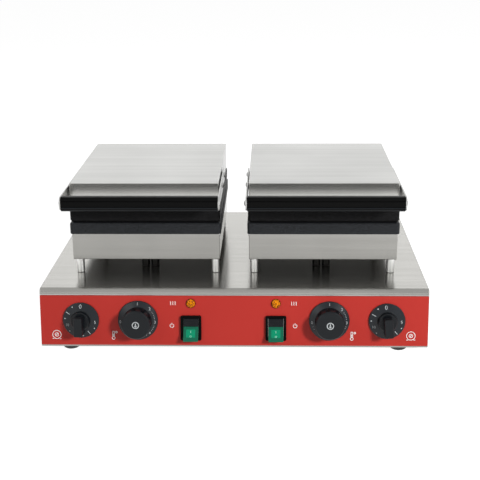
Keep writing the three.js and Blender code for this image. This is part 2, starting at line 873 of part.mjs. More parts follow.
function upperCover() {
  const outer = new RoundedBoxGeometry(headWidth, headDepth, 2 * coverHeight, bendSteps, coverEdge);
  const inner = block(
    coverSheet - headWidth / 2, headWidth / 2 - coverSheet,
    coverSheet - headDepth / 2, headDepth / 2 - coverSheet,
    -coverHeight - overrun, coverHeight - coverSheet,
  );
  const below = block(
    -headWidth / 2 - overrun, headWidth / 2 + overrun, -headDepth / 2 - overrun, headDepth / 2 + overrun,
    -coverHeight - overrun, 0,
  );
  return cut(outer, inner, below).translate(0, coverMiddle, coverRim);
}

const plateBack = partingAbove + upperFlange + plateBodyDepth;
const upperHeaterZ = plateBack + seatGap + heaterRadius;
const lowerHeaterZ = partingBelow - lowerFlange - plateBodyDepth - seatGap - heaterRadius;

// The mat of mineral wool that keeps the heat under the cover.
function insulationMat() {
  return block(
    matInset - headWidth / 2, headWidth / 2 - matInset, headFront + matInset, headBack - matInset,
    upperHeaterZ + heaterRadius + seatGap, coverTop - coverSheet - seatGap,
  );
}

// Lid arms: screw places are measured back from the handle's axis
const armZ = coverTop - armBelowTop;
const handleY = headFront - armReach;

// One arm, made for the right side: the strap, its spacers and its three domed screws. The strap's
// ends are rounded to just short of a half circle.
function lidArm() {
  const round = armWidth / 2;
  const strap = extrudeX(
    rectangle(handleY - round, headFront + armOverlap + round, armZ - round, armZ + round, round - seatGap),
    armInner, armOuter,
  );
  const screwYs = [handleY, headFront + armScrewFront, headFront + armScrewFront + armScrewPitch];
  const heads = screwYs.map(y => turned([
    [0, -armSheet / 2],
    [screwHeadRadius, -armSheet / 2],
    [screwHeadRadius, screwHeadRise / 4],
    [screwHeadRadius * Math.cos(Math.PI / 4), screwHeadRise * Math.sin(Math.PI / 4)],
    [0, screwHeadRise],
  ], smallSides).rotateY(Math.PI / 2).translate(armOuter, y, armZ));
  const spacers = screwYs.slice(1).map(y => rod(
    spacerRadius, headWidth / 2 + seatGap, armInner + armSheet / 2, smallSides,
  ).rotateY(Math.PI / 2).translate(0, y, armZ));
  return join(strap, ...heads, ...spacers);
}

// The handle bar: a rounded bar with two grooves along its front.
function handleBar() {
  const front = handleY - handleDepth / 2;
  const bottom = armZ - handleHeight / 2;
  const half = armInner - seatGap;
  const bar = extrudeX(
    rectangle(front, front + handleDepth, bottom, bottom + handleHeight, handleCorner), -half, half,
  );
  const grooves = grooveHeightShares.map(share => {
    const middle = bottom + share * handleHeight;
    return extrudeX([
      new THREE.Vector2(front - grooveDepth, middle - grooveWidth),
      new THREE.Vector2(front + grooveDepth, middle),
      new THREE.Vector2(front - grooveDepth, middle + grooveWidth),
    ], -half - overrun, half + overrun);
  });
  return cut(bar, ...grooves);
}

// Assembly

function place(mesh, x, y, z) {
  mesh.position.set(x, y, z);
  return mesh;
}

function base() {
  const group = new THREE.Group();
  group.add(piece('base_shell', baseShell(), steel()));
  group.add(piece('bottom_plate', bottomPlate(), steel()));
  for (const [name, x, y] of footPlaces) {
    group.add(place(piece(`foot_${name}`, foot(), rubber()), x, y, 0));
  }
  group.add(piece('terminal_block', terminalBlock(), ceramic()));
  const gland = place(piece('cord_gland', cordGland(), blackPlastic()), glandX, baseTopDepth, glandHeight);
  gland.rotation.x = -Math.PI / 2;
  group.add(gland);
  return group;
}

function controls() {
  const group = new THREE.Group();
  group.add(piece('front_panel', frontPanel(), redPaint()));
  for (const [side, sign] of sides) {
    const timer = sign * timerX;
    const thermostat = sign * thermostatX;
    const power = sign * switchX;
    const timerCase = controlCase(timerCaseWidth, timerCaseHeight, timerCaseDepth);
    const thermostatCase = controlCase(thermostatCaseWidth, thermostatCaseHeight, thermostatCaseDepth);
    group.add(place(piece(`${side}_timer_body`, timerCase, steel()), timer, -knobDrop, 0));
    group.add(place(piece(`${side}_timer_knob`, timerKnob(), blackPlastic()), timer, -knobDrop, 0));
    group.add(place(piece(`${side}_thermostat_body`, thermostatCase, steel()), thermostat, -knobDrop, 0));
    group.add(place(
      piece(`${side}_thermostat_knob`, thermostatKnob(), blackPlastic()), thermostat, -knobDrop, 0,
    ));
    group.add(place(piece(`${side}_switch_frame`, rockerFrame(), blackPlastic()), power, -switchDrop, 0));
    group.add(place(piece(`${side}_rocker`, rocker(), greenLens()), power, -switchDrop, rockerPivot));
    group.add(place(piece(`${side}_pilot_lamp`, pilotLamp(), amber()), power, -lampDrop, 0));
  }
  group.rotation.x = panelTurn;
  group.position.z = baseHeight;
  return group;
}

function head(side, sign) {
  const group = new THREE.Group();
  const add = (name, geometry, material) => {
    const mesh = piece(`${side}_${name}`, geometry, material);
    group.add(mesh);
    return mesh;
  };
  for (const [name, x, y] of legPlaces) {
    place(add(`leg_${name}`, leg(), polishedSteel()), x, y, 0);
  }
  for (const [name, x] of wireTubePlaces) {
    place(add(name, wireTube(), blackenedSteel()), x, wireTubeY, 0);
  }
  add('lower_housing', lowerHousing(), steel());
  place(add('lower_heater', heater(), steel()), 0, 0, lowerHeaterZ);
  const lowerPlate = castPlate(lowerOverhang, lowerFlange, lowerPlateEdge, innerLugX);
  place(add('lower_plate', lowerPlate, castIron()), 0, 0, partingBelow);
  place(add('hinge_pin', hingePin(), polishedSteel()), 0, hingeY, hingeZ).rotation.y = Math.PI / 2;
  const upperPlate = castPlate(upperOverhang, upperFlange, upperPlateEdge, outerLugX).scale(1, 1, -1);
  add('upper_plate', turnedInsideOut(upperPlate).translate(0, 0, partingAbove), castIron());
  place(add('upper_heater', heater(), steel()), 0, 0, upperHeaterZ);
  add('insulation_mat', insulationMat(), mineralWool());
  add('upper_cover', upperCover(), steel());
  add('right_arm', lidArm(), steel());
  add('left_arm', turnedInsideOut(lidArm().scale(-1, 1, 1)), steel());
  add('handle_bar', handleBar(), blackPlastic());
  group.position.set(headX(sign), 0, baseHeight);
  return group;
}

// A mirrored mesh has its faces the wrong way round, so each triangle is turned over.
function turnedInsideOut(geometry) {
  const position = geometry.attributes.position;
  const corner = new THREE.Vector3();
  const other = new THREE.Vector3();
  for (let i = 0; i < position.count; i += 3) {
    corner.fromBufferAttribute(position, i);
    other.fromBufferAttribute(position, i + 1);
    position.setXYZ(i, ...other);
    position.setXYZ(i + 1, ...corner);
  }
  geometry.computeVertexNormals();
  return geometry;
}

const machine = new THREE.Group();
machine.add(base(), controls(), ...sides.map(([side, sign]) => head(side, sign)));
machine.position.z = footHeight;

// The origin is on the table under the middle of the whole machine.
machine.updateMatrixWorld(true);
const extent = new THREE.Box3().setFromObject(machine, true);
machine.position.y = -(extent.min.y + extent.max.y) / 2;

export default machine;
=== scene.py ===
# %% [markdown]
# # A double waffle maker
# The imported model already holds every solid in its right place, so this lesson adds what a solid
# lacks: soft edges, round turned parts, marks on the dials, and finishes for metal, iron and
# plastic. X runs to the right, Y to the back and Z up, and Z is 0 on the table. Blender counts in
# metres, and the shapes are drawn in millimetres, so `mm` turns one into the other.

import json
import math

import bmesh
import bpy
from mathutils import Matrix, Vector


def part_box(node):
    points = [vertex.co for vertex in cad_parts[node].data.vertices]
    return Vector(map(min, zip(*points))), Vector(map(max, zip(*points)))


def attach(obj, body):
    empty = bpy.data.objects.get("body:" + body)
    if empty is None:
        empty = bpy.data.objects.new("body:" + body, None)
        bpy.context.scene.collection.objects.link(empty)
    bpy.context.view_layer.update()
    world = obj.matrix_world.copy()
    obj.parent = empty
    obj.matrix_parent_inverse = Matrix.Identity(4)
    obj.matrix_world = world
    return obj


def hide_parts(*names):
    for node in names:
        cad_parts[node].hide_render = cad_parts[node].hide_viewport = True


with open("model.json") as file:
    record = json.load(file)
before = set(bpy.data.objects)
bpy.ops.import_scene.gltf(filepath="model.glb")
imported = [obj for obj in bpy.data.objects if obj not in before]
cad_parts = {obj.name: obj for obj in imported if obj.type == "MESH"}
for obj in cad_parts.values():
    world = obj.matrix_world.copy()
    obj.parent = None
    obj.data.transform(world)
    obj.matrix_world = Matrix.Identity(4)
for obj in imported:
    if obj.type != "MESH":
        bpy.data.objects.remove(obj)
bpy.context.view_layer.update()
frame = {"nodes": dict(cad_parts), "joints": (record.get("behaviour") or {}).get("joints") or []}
nodes = frame["nodes"]
joints = {joint["name"]: joint for joint in frame["joints"]}
mm = 0.001
sides = {"left": -1, "right": 1}

# %% [markdown]
# ## The camera
# The photographer stood in front, a little to the right, and looked down by 18 degrees. A new
# camera looks straight down, so it is rolled a little, tilted up to its pitch and then turned.

# %% Camera
camera_place = Vector((54.96, -1563.26, 634.4)) * mm
camera_yaw = 0.0322
camera_pitch = 0.3212
camera_roll = 0.0088
image_size = 480
focal_pixels = 994.2
sensor = 36

camera_data = bpy.data.cameras.new("photo_camera")
camera_data.sensor_width = sensor
camera_data.lens = focal_pixels / image_size * sensor
camera_data.clip_end = 100
camera = bpy.data.objects.new("photo_camera", camera_data)
bpy.context.scene.collection.objects.link(camera)
tilt = Matrix.Rotation(math.pi / 2 - camera_pitch, 4, "X") @ Matrix.Rotation(-camera_roll, 4, "Z")
turn = Matrix.Rotation(camera_yaw, 4, "Z")
camera.matrix_world = Matrix.Translation(camera_place) @ turn @ tilt
bpy.context.scene.camera = camera
print("lens", round(camera_data.lens, 2), "mm")

# %% [markdown]
# ## Helpers for shapes
# Each piece starts as a bmesh, drawn in millimetres. A block comes from `create_cube`, and a
# turned piece from a few vertices that `spin` carries once round. A matrix then puts either in its
# place. A bevel takes its edges, a width and a number of segments.


# %% Block, turned piece and bevel
def place(bm, matrix, verts=None):
    bmesh.ops.transform(bm, matrix=matrix, verts=verts or bm.verts)


def add_block(bm, low, high, matrix=Matrix()):
    low, high = Vector(low), Vector(high)
    made = bmesh.ops.create_cube(bm, size=1)["verts"]
    bmesh.ops.scale(bm, vec=high - low, verts=made)
    bmesh.ops.translate(bm, vec=(low + high) / 2, verts=made)
    place(bm, matrix, made)


def add_turned(bm, profile, steps, matrix=Matrix()):
    """Turns a profile of (radius, height) points round the Z axis."""
    before = set(bm.verts)
    points = [bm.verts.new((radius, 0, height)) for radius, height in profile]
    edges = [bm.edges.new(pair) for pair in zip(points, points[1:])]
    bmesh.ops.spin(
        bm, geom=points + edges, cent=(0, 0, 0), axis=(0, 0, 1), angle=2 * math.pi,
        steps=steps, use_merge=True, use_duplicate=False,
    )
    made = [v for v in bm.verts if v not in before]
    bmesh.ops.remove_doubles(bm, verts=made, dist=0.001)
    made = [v for v in bm.verts if v not in before]
    faces = {face for v in made for face in v.link_faces}
    bmesh.ops.recalc_face_normals(bm, faces=list(faces))
    place(bm, matrix, made)


def bevel(bm, edges, width, segments):
    bmesh.ops.bevel(
        bm, geom=edges, offset=width, offset_type="OFFSET", segments=segments, profile=0.5,
        affect="EDGES", material=-1,
    )


def middle_of(edge):
    return (edge.verts[0].co + edge.verts[1].co) / 2


def edges_along(bm, axis, test=lambda middle: True):
    """The straight edges that run along one axis and whose middle passes a test."""
    found = []
    for edge in bm.edges:
        run = edge.verts[1].co - edge.verts[0].co
        if abs(run[axis]) > 0.999 * run.length and test(middle_of(edge)):
            found.append(edge)
    return found


def drop_faces(bm, test):
    gone = [face for face in bm.faces if test(face.normal)]
    bmesh.ops.delete(bm, geom=gone, context="FACES_ONLY")


def cut_all(bm, spot, normal, **more):
    """Cuts every face along a plane."""
    geometry = bm.verts[:] + bm.edges[:] + bm.faces[:]
    bmesh.ops.bisect_plane(bm, geom=geometry, plane_co=spot, plane_no=normal, **more)


def draw_out(bm, faces, shift):
    """Extrudes faces along Z, drops those that stay behind and returns those that moved."""
    made = bmesh.ops.extrude_face_region(bm, geom=faces)["geom"]
    bmesh.ops.delete(bm, geom=faces, context="FACES")
    moved = [part for part in made if isinstance(part, bmesh.types.BMFace)]
    corners = list({v for face in moved for v in face.verts})
    bmesh.ops.translate(bm, vec=(0, 0, shift), verts=corners)
    return moved


X, Z = 0, 2

# %% [markdown]
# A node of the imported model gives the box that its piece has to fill. A finished bmesh becomes an
# object that sits at the origin, with its place in its mesh. Faces are smooth, and every edge that
# turns by more than the given angle stays sharp. The piece then rides on the body that carries it,
# and stands for the plain solids that it replaces.

# %% Turn a bmesh into a piece
pieces = []


def box_of(node):
    """The low corner, the high corner and the middle of a node's box."""
    low, high = (Vector(corner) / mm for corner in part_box(node))
    return low, high, (low + high) / 2


def make_piece(bm, name, body, finishes, stands_for=(), sharp=35):
    """Makes the object. Faces use the first finish unless their material index says another."""
    bmesh.ops.scale(bm, vec=(mm, mm, mm), verts=bm.verts)
    mesh = bpy.data.meshes.new(name)
    bm.to_mesh(mesh)
    bm.free()
    mesh.shade_smooth()
    mesh.set_sharp_from_angle(angle=math.radians(sharp))
    for finish in finishes:
        mesh.materials.append(finish)
    piece = bpy.data.objects.new(name, mesh)
    bpy.context.scene.collection.objects.link(piece)
    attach(piece, body)
    if stands_for:
        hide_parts(*stands_for)
    pieces.append(piece)
    return piece


def soften(piece, width, segments=2, angle=40):
    """A small round on every edge that is sharper than the angle."""
    modifier = piece.modifiers.new("soft_edges", "BEVEL")
    modifier.width = width * mm
    modifier.segments = segments
    modifier.limit_method = "ANGLE"
    modifier.angle_limit = math.radians(angle)
    modifier.miter_outer = "MITER_ARC"


def give_thickness(piece, thickness):
    """Sheet metal: the wall grows inwards from the outer face."""
    modifier = piece.modifiers.new("sheet", "SOLIDIFY")
    modifier.thickness = thickness * mm
    modifier.offset = -1
    modifier.use_even_offset = True


# %% [markdown]
# ## Helpers for finishes
# Colours are written as sRGB hex values, as a colour picker shows them, and the shader wants
# linear light. One function converts them. One more adds a node with its settings and its links.
# The rest build on it: noise of a given size, a colour between two tones, a roughness that varies,
# a relief.


# %% Colour and node helpers
def linear(hex_colour):
    channels = [int(hex_colour[i:i + 2], 16) / 255 for i in (1, 3, 5)]
    return [c / 12.92 if c <= 0.04045 else ((c + 0.055) / 1.055) ** 2.4 for c in channels] + [1]


def start_finish(name, **sockets):
    """A new material. Each keyword sets one socket of its shader, with _ for a space."""
    finish = bpy.data.materials.new(name)
    finish.use_nodes = True
    shader = finish.node_tree.nodes["Principled BSDF"]
    for socket, value in sockets.items():
        shader.inputs[socket.replace("_", " ")].default_value = value
    return finish, finish.node_tree, shader


def add_node(tree, kind, settings, links):
    """Adds a node. Settings and links go to a socket by name or number, or to a property."""
    node = tree.nodes.new(kind)
    for name, value in settings.items():
        if isinstance(name, int) or name in node.inputs:
            node.inputs[name].default_value = value
        else:
            setattr(node, name, value)
    for socket, source in links.items():
        tree.links.new(source, node.inputs[socket])
    return node


def add_noise(tree, size, detail, contrast=0.5):
    """Noise with blobs of a size in millimetres. Three sizes stretch the blobs along the axes."""
    spot = add_node(tree, "ShaderNodeTexCoord", {}, {}).outputs["Object"]
    scale = 1 / mm
    if isinstance(size, tuple):
        shares = [1 / (length * mm) for length in size]
        stretch = add_node(tree, "ShaderNodeMapping", {"Scale": shares}, {"Vector": spot})
        spot = stretch.outputs["Vector"]
        scale = size = 1
    settings = {"Scale": scale / size, "Detail": detail, "Roughness": contrast}
    return add_node(tree, "ShaderNodeTexNoise", settings, {"Vector": spot}).outputs["Fac"]


def remap(tree, value, low, high, new_low=0, new_high=1):
    """Stretches the values between low and high so that they run from new_low to new_high."""
    ends = {"From Min": low, "From Max": high, "To Min": new_low, "To Max": new_high}
    return add_node(tree, "ShaderNodeMapRange", ends, {"Value": value}).outputs["Result"]


def vary_colour(tree, shader, dark, light, share):
    tone = add_node(
        tree, "ShaderNodeMix", {"data_type": "RGBA", 6: linear(dark), 7: linear(light)}, {0: share},
    )
    tree.links.new(tone.outputs[2], shader.inputs["Base Color"])


def vary_roughness(tree, shader, value, low, high, smoothest, roughest):
    rough = remap(tree, value, low, high, smoothest, roughest)
    tree.links.new(rough, shader.inputs["Roughness"])


def add_relief(tree, shader, height, strength, depth):
    relief = add_node(
        tree, "ShaderNodeBump", {"Strength": strength, "Distance": depth * mm}, {"Height": height},
    )
    tree.links.new(relief.outputs["Normal"], shader.inputs["Normal"])


# %% [markdown]
# ## Stainless steel sheet
# The base, the housings and the covers are folded from rolled 304 stainless steel with a brushed
# finish. Brushing leaves fine scratches along X. They blur a mirror image across their direction
# and leave it sharp along it, which the shader calls anisotropy: its tangent points across the
# scratches. A real scratch is about 0.1 mm wide and wouldn't show at this distance, so the pattern
# is drawn 1 mm wide: noise that is stretched along X, which stirs the roughness a little. Wider
# streaks and cloudy patches from wiping change the tone. The lids were brushed with a coarser
# belt, so they look duller, apart from their fronts, which hands and cloths keep smoother. The
# three tones are lit and shaded copies of one steel. The lids' paler tone is painted light, for the
# bright mirror image on the lids, and the darker tone of the base's sheet is painted shade, for its
# dim fronts.

# %% Brushed stainless steel
brush_length, brush_width = 120, 1
streak_length, streak_width = 400, 9
patch_size = 1000 / 7
brushed_steels = {}

# Lit and shaded copies of one steel: the fine tone is painted shade, the coarse and front tones
# painted light.
for where, dark, light, gloss in (
    ("fine_painted_shade", "#94938F", "#9E9D99", 0.25),
    ("coarse_painted_light", "#B4B4B2", "#C2C2C0", 0.38),
    ("front_painted_light", "#AFAFAB", "#C1C0BC", 0.2),
):
    steel, tree, shader = start_finish(
        "brushed_304_stainless_sheet_" + where, Metallic=1, Anisotropic=0.9,
    )
    across = add_node(tree, "ShaderNodeCombineXYZ", {"Y": 0.3, "Z": 1}, {})
    tree.links.new(across.outputs["Vector"], shader.inputs["Tangent"])
    scratches = add_noise(tree, (brush_length, brush_width, brush_width), 3, 0.6)
    patches = add_noise(tree, patch_size, 2)
    streaks = add_noise(tree, (streak_length, streak_width, streak_width), 2)
    cloudy = add_node(
        tree, "ShaderNodeMix", {"data_type": "FLOAT", 0: 0.5}, {2: patches, 3: streaks},
    )
    vary_colour(tree, shader, dark, light, remap(tree, cloudy.outputs[0], 0.36, 0.64))
    vary_roughness(tree, shader, scratches, 0.3, 0.7, gloss - 0.015, gloss + 0.015)
    brushed_steels[where] = steel

# %% [markdown]
# ## Turned steel
# Pins and screws are turned from stainless steel and polished, nearly to a mirror. The legs only
# come from the lathe: its fine feed marks spread a highlight over most of their width.

# %% Turned stainless steel
haze_size = 12
turned_steels = {}

for where, gloss in (("polished", 0.14), ("satin", 0.4)):
    steel, tree, shader = start_finish(
        "turned_304_stainless_" + where, Base_Color=linear("#F4F4F2"), Metallic=1,
    )
    haze = add_noise(tree, haze_size, 4)
    vary_roughness(tree, shader, haze, 0.35, 0.7, gloss - 0.02, gloss + 0.02)
    turned_steels[where] = steel

# %% [markdown]
# ## Painted shade under the heads, and the heater
# The undersides of the housings are drawn a dull brown, which is painted shade. It shows only as a
# dark mirror image in the base's top, but without it the space under the heads would look empty.
# The wire tubes are drawn nearly black, with one thin highlight: their dark tone is painted shade
# for the dark space that they mirror. A heater's sheath is an annealed nickel alloy tube, matt,
# and tinted brown and blue in patches.

# %% Painted shade, and the heater's tint
painted_shade_and_tinted_metals = {}

for where, name, dark, light, patch, metallic, gloss in (
    # The housing's dull brown underside is painted shade.
    ("housing", "heat_tinted_304_stainless_sheet", "#4A443C", "#5B564E", 35, 1, 0.4),
    # The tube's nearly black tone is painted shade.
    ("tube", "dark_painted_shade_steel_tube", "#222221", "#32312F", 8, 0.9, 0.28),
    ("heater", "annealed_nickel_alloy_tube", "#6B5A4A", "#6F7480", 30, 1, 0.5),
):
    metal, tree, shader = start_finish(name, Metallic=metallic, Roughness=gloss)
    vary_colour(tree, shader, dark, light, add_noise(tree, patch, 3))
    painted_shade_and_tinted_metals[where] = metal

# %% [markdown]
# ## Cast iron
# The plates are poured in sand, which leaves a fine grain of about half a millimetre, and then
# seasoned with oil. The grain is drawn at 1.6 mm so that it shows. The upper plate is drawn darker
# than the lower one.

# %% Seasoned cast iron
sand_grain = 1.6
oil_stain = 1000 / 18
cast_irons = {}

for where, dark, light, gloss, shine in (
    ("lower", "#090A0B", "#303235", 0.5, 0.15),
    ("upper", "#0B0B0B", "#1F1F20", 0.42, 0.05),
):
    iron, tree, shader = start_finish("seasoned_sand_cast_iron_" + where, Specular_IOR_Level=shine)
    grain = add_noise(tree, sand_grain, 4, 0.65)
    vary_colour(tree, shader, dark, light, remap(tree, grain, 0.35, 0.65))
    vary_roughness(tree, shader, add_noise(tree, oil_stain, 3), 0, 1, gloss - 0.12, gloss + 0.15)
    add_relief(tree, shader, grain, 0.35, 0.25)
    cast_irons[where] = iron

# %% [markdown]
# ## Moulded plastics
# The handle bars are phenolic resin, and the knobs and switch frames are a black moulding of the
# same look: nearly black, satin, with a spark-eroded texture of about 0.3 mm from the mould, drawn
# at 0.8 mm. The handle and the frames are dull. The knobs' grips and the rockers shine more, and
# the turned skirts of the knobs most.

# %% Black moulded phenolic
mould_texture = 0.8
wear_size = 25
black_plastics = {}

for where, colour, gloss, shine in (
    ("handle", "#0E0E0E", 0.36, 0.03),
    ("knob", "#080C10", 0.32, 0.24),
    ("skirt", "#080E14", 0.36, 0.34),
    ("frame", "#060707", 0.45, 0.04),
):
    plastic, tree, shader = start_finish(
        "black_moulded_phenolic_" + where, Base_Color=linear(colour), Specular_IOR_Level=shine,
    )
    vary_roughness(tree, shader, add_noise(tree, wear_size, 3), 0, 1, gloss - 0.08, gloss + 0.1)
    add_relief(tree, shader, add_noise(tree, mould_texture, 2), 0.12, 0.1)
    black_plastics[where] = plastic

# %% [markdown]
# ## The red front
# The front is a thin panel with a screen-printed red coat. The coat is even, satin, and has a very
# fine orange peel of about 1 mm.

# %% Screen-printed red coat
peel_size = 1
cloud_size = 1000 / 9

red_coat, tree, shader = start_finish(
    "screen_printed_red_satin_coat", Roughness=0.42, Specular_IOR_Level=0.25,
)
vary_colour(tree, shader, "#A72B24", "#AF2F28", add_noise(tree, cloud_size, 2))
add_relief(tree, shader, add_noise(tree, peel_size, 2), 0.06, 0.1)

# %% [markdown]
# White marks on the panel are screen-printed ink: matt, and a little uneven where the screen's
# mesh shows through. The marks on the dials are worn to a light grey. Those on the rockers are a
# thin print, so that green shows through.

# %% Screen-print inks
mesh_size = 0.5
inks = {}

for name, thin, thick in (
    ("white", "#D9DBDB", "#F2F2F0"),
    ("grey", "#A3A8AA", "#B9BDBE"),
    ("pale_green", "#6FBFA4", "#9AD6C2"),
):
    print_ink, tree, shader = start_finish(name + "_screen_print_ink", Roughness=0.6)
    vary_colour(tree, shader, thin, thick, add_noise(tree, mesh_size, 1))
    inks[name] = print_ink

# %% [markdown]
# ## Lamps and lit switches
# Both are tinted polycarbonate. The pilot lens is moulded with facets, and light gets lost in it,
# so it glows amber from within. The rocker's lens is a deep green with a brighter window over its
# lamp.

# %% Tinted polycarbonate
lens_flow = 1.4
lenses = {}

for where, dark, light, glow, glow_strength in (
    ("amber", "#5A2400", "#E68A00", "#FF8A00", 0.03),
    ("green", "#0E5640", "#115E47", "#00A070", 0.01),
    ("window", "#067A58", "#078560", "#00B07C", 0.04),
):
    lens, tree, shader = start_finish(
        "tinted_polycarbonate_" + where, Roughness=0.25, Specular_IOR_Level=0.15,
        Emission_Color=linear(glow), Emission_Strength=glow_strength,
    )
    vary_colour(tree, shader, dark, light, remap(tree, add_noise(tree, lens_flow, 2), 0.42, 0.56))
    lenses[where] = lens

# %% [markdown]
# ## Rubber, ceramic and mineral wool
# The feet are moulded rubber, dull with a faint bloom. The terminal block is glazed steatite. The
# mats inside the lids are needled mineral wool, with fibres about a millimetre apart.

# %% Rubber, steatite and mineral wool
plain_finishes = {}

for name, dark, light, gloss, size, depth in (
    ("moulded_nitrile_rubber", "#0C0C0C", "#161616", 0.35, 2, 0.05),
    ("glazed_steatite", "#DDD8CB", "#EFEBE0", 0.25, 4, 0.05),
    ("needled_mineral_wool", "#A99B6C", "#D8CDA4", 0.95, 1, 0.8),
):
    finish, tree, shader = start_finish(name, Roughness=gloss)
    texture = add_noise(tree, size, 4)
    vary_colour(tree, shader, dark, light, texture)
    add_relief(tree, shader, texture, 0.4, depth)
    plain_finishes[name] = finish

# %% [markdown]
# ## Solids that stay
# Pieces that are flat, or hidden inside, are already right as they are. They keep their solids and
# only get their finish.

# %% Finishes of the solids that stay
sheet_steel = brushed_steels["fine_painted_shade"]
kept = {
    "bottom_plate": sheet_steel,
    "front_panel": red_coat,
    "terminal_block": plain_finishes["glazed_steatite"],
}
for side in sides:
    kept[side + "_timer_body"] = sheet_steel
    kept[side + "_thermostat_body"] = sheet_steel
    kept[side + "_lower_heater"] = painted_shade_and_tinted_metals["heater"]
    kept[side + "_upper_heater"] = painted_shade_and_tinted_metals["heater"]
    kept[side + "_insulation_mat"] = plain_finishes["needled_mineral_wool"]
for name, finish in kept.items():
    nodes[name].data.materials.clear()
    nodes[name].data.materials.append(finish)
print(len(kept), "solids keep their shape")

# %% [markdown]
# ## The base
# The base is one folded sheet. A cube gets its leaning front, loses its lower face, and its long
# upper edges are bevelled to the radius of the press brake. The side edges are tighter. A Solidify
# modifier then gives the sheet its thickness, as the solid does.

# %% Base shell
base_low, base_high, base_middle = box_of("base_shell")
timer_axis = Vector(joints["left_timer_turn"]["axis"])
lean = math.atan2(-timer_axis.z, timer_axis.y)
top_front = base_low.y + math.tan(lean) * (base_high.z - base_low.z)
sheet = 1.5
long_bend = 6
side_bend = 2

bm = bmesh.new()
add_block(bm, (base_low.x, top_front, base_low.z), base_high)
for corner in bm.verts:
    if corner.co.z < base_middle.z and corner.co.y < 0:
        corner.co.y = base_low.y
drop_faces(bm, lambda normal: normal.z < -0.9)
bevel(bm, edges_along(bm, X, lambda middle: middle.z > base_high.z - 1), long_bend, 6)
rims = [
    edge for edge in bm.edges
    if len(edge.link_faces) == 2 and edge.calc_face_angle() > math.radians(60)
]
bevel(bm, rims, side_bend, 3)
# The base takes the sheet steel whose darker tone is painted shade.
base_shell = make_piece(
    bm, "base_shell_folded", "base", [sheet_steel], ["base_shell"],
)
give_thickness(base_shell, sheet)
print("lean", round(math.degrees(lean), 2), "degrees")

# %% [markdown]
# ## Feet
# A rubber foot is turned from a profile: a flat sole with a rounded edge, a slightly tapered side
# and the stud and nut that hold it to the bottom plate.

# %% Feet
round_steps = 48

for name in [n for n in nodes if n.startswith("foot_")]:
    low, high, middle = box_of(name)
    radius = (high.x - low.x) / 2
    bm = bmesh.new()
    add_turned(bm, [
        (0, 0), (radius - 4, 0), (radius - 2.4, 0.4), (radius - 1, 1.6), (radius - 0.4, 3.2),
        (radius - 0.4, 4), (radius - 1.4, 10.6), (radius - 2.4, 11.7), (2.5, 11.7), (2.5, 13.8),
        (4.6, 13.8), (4.6, 17.3), (0, 17.3),
    ], round_steps, Matrix.Translation((middle.x, middle.y, 0)))
    rubber = plain_finishes["moulded_nitrile_rubber"]
    make_piece(bm, name + "_moulded", "base", [rubber], [name])

# %% [markdown]
# ## Cord gland
# The gland in the back wall is a plastic nut, a round flange and a tapered nose, turned in one go,
# with grip ribs round the flange. Its axis is level, so it is tipped back by a quarter turn.

# %% Cord gland
ribs = 12

low, high, gland = box_of("cord_gland")
bm = bmesh.new()
add_turned(bm, [
    (4.5, -6.8), (11.3, -6.8), (11.3, -1.8), (8, -1.8), (8, 0.3), (11.6, 0.3), (12, 0.8), (12, 5.6),
    (11.4, 6.3), (9.6, 6.3), (9.2, 8), (8.2, 14), (6.9, 17.1), (6.2, 17.3), (4.8, 17.3), (4.5, 17),
    (4.5, -6.8),
], round_steps)
for rib in range(ribs):
    spoke = Matrix.Rotation(2 * math.pi * rib / ribs, 4, "Z")
    add_block(bm, (11.6, -1, 1), (12, 1, 5.4), spoke)
tip = Matrix.Rotation(-math.pi / 2, 4, "X")
place(bm, Matrix.Translation((gland.x, base_high.y, gland.z)) @ tip)
make_piece(
    bm, "cord_gland_moulded", "base", [black_plastics["knob"]], ["cord_gland"],
)

# %% [markdown]
# ## Legs and wire tubes
# Each head stands on four steel posts. Two steel tubes bring the wires up from the base; their
# nearly black tone is painted shade. All are turned on a lathe, so their edges have a small chamfer
# that catches the light.


# %% Legs and wire tubes
def post_profile(radius, bore, neck, nut):
    """A post between two sheets with a nut beyond each. The bore is 0 on a solid post."""
    height, edge, gap, nut_height = 26, 0.6, 0.3, 3.5
    lower = -sheet - gap
    upper = height + sheet + gap
    outline = [
        (bore, lower - nut_height), (nut, lower - nut_height), (nut, lower), (neck, lower),
        (neck, gap), (radius - edge, gap), (radius, gap + edge), (radius, height - gap - edge),
        (radius - edge, height - gap), (neck, height - gap), (neck, upper), (nut, upper),
        (nut, upper + nut_height), (bore, upper + nut_height),
    ]
    return outline + outline[:1] if bore else outline


legs = ("leg_front_left", "leg_front_right", "leg_rear_left", "leg_rear_right")
tubes = ("heater_wire_tube", "sensor_wire_tube")
for side in sides:
    for names, radii, finish, slot in (
        (legs, (6, 0, 2.5, 4.6), turned_steels["satin"], "polished_steel"),
        # The tubes' nearly black finish is painted shade.
        (tubes, (6.5, 3.4, 5, 7.25), painted_shade_and_tinted_metals["tube"], "blackened_steel"),
    ):
        for node in [f"{side}_{name}" for name in names]:
            middle = box_of(node)[2]
            foot = Matrix.Translation((middle.x, middle.y, base_high.z))
            bm = bmesh.new()
            add_turned(bm, post_profile(*radii), round_steps, foot)
            make_piece(bm, node + "_turned", "base", [finish], [node])

# %% [markdown]
# ## Housings and covers
# A housing is a folded pan under the lower plate, and the cover of a lid is the same kind of pan
# upside down. The cube loses one face, its other edges get the bend radius, and Solidify gives the
# wall. Material index 1 gives some faces a second finish. A housing's sheet has the darker tone of
# painted shade, and its underside a dull brown, also painted shade. A cover has the lids' paler
# tone of painted light, and its front a smoother steel of the same tone.

# %% Housings and covers
pan_bend = 1.2

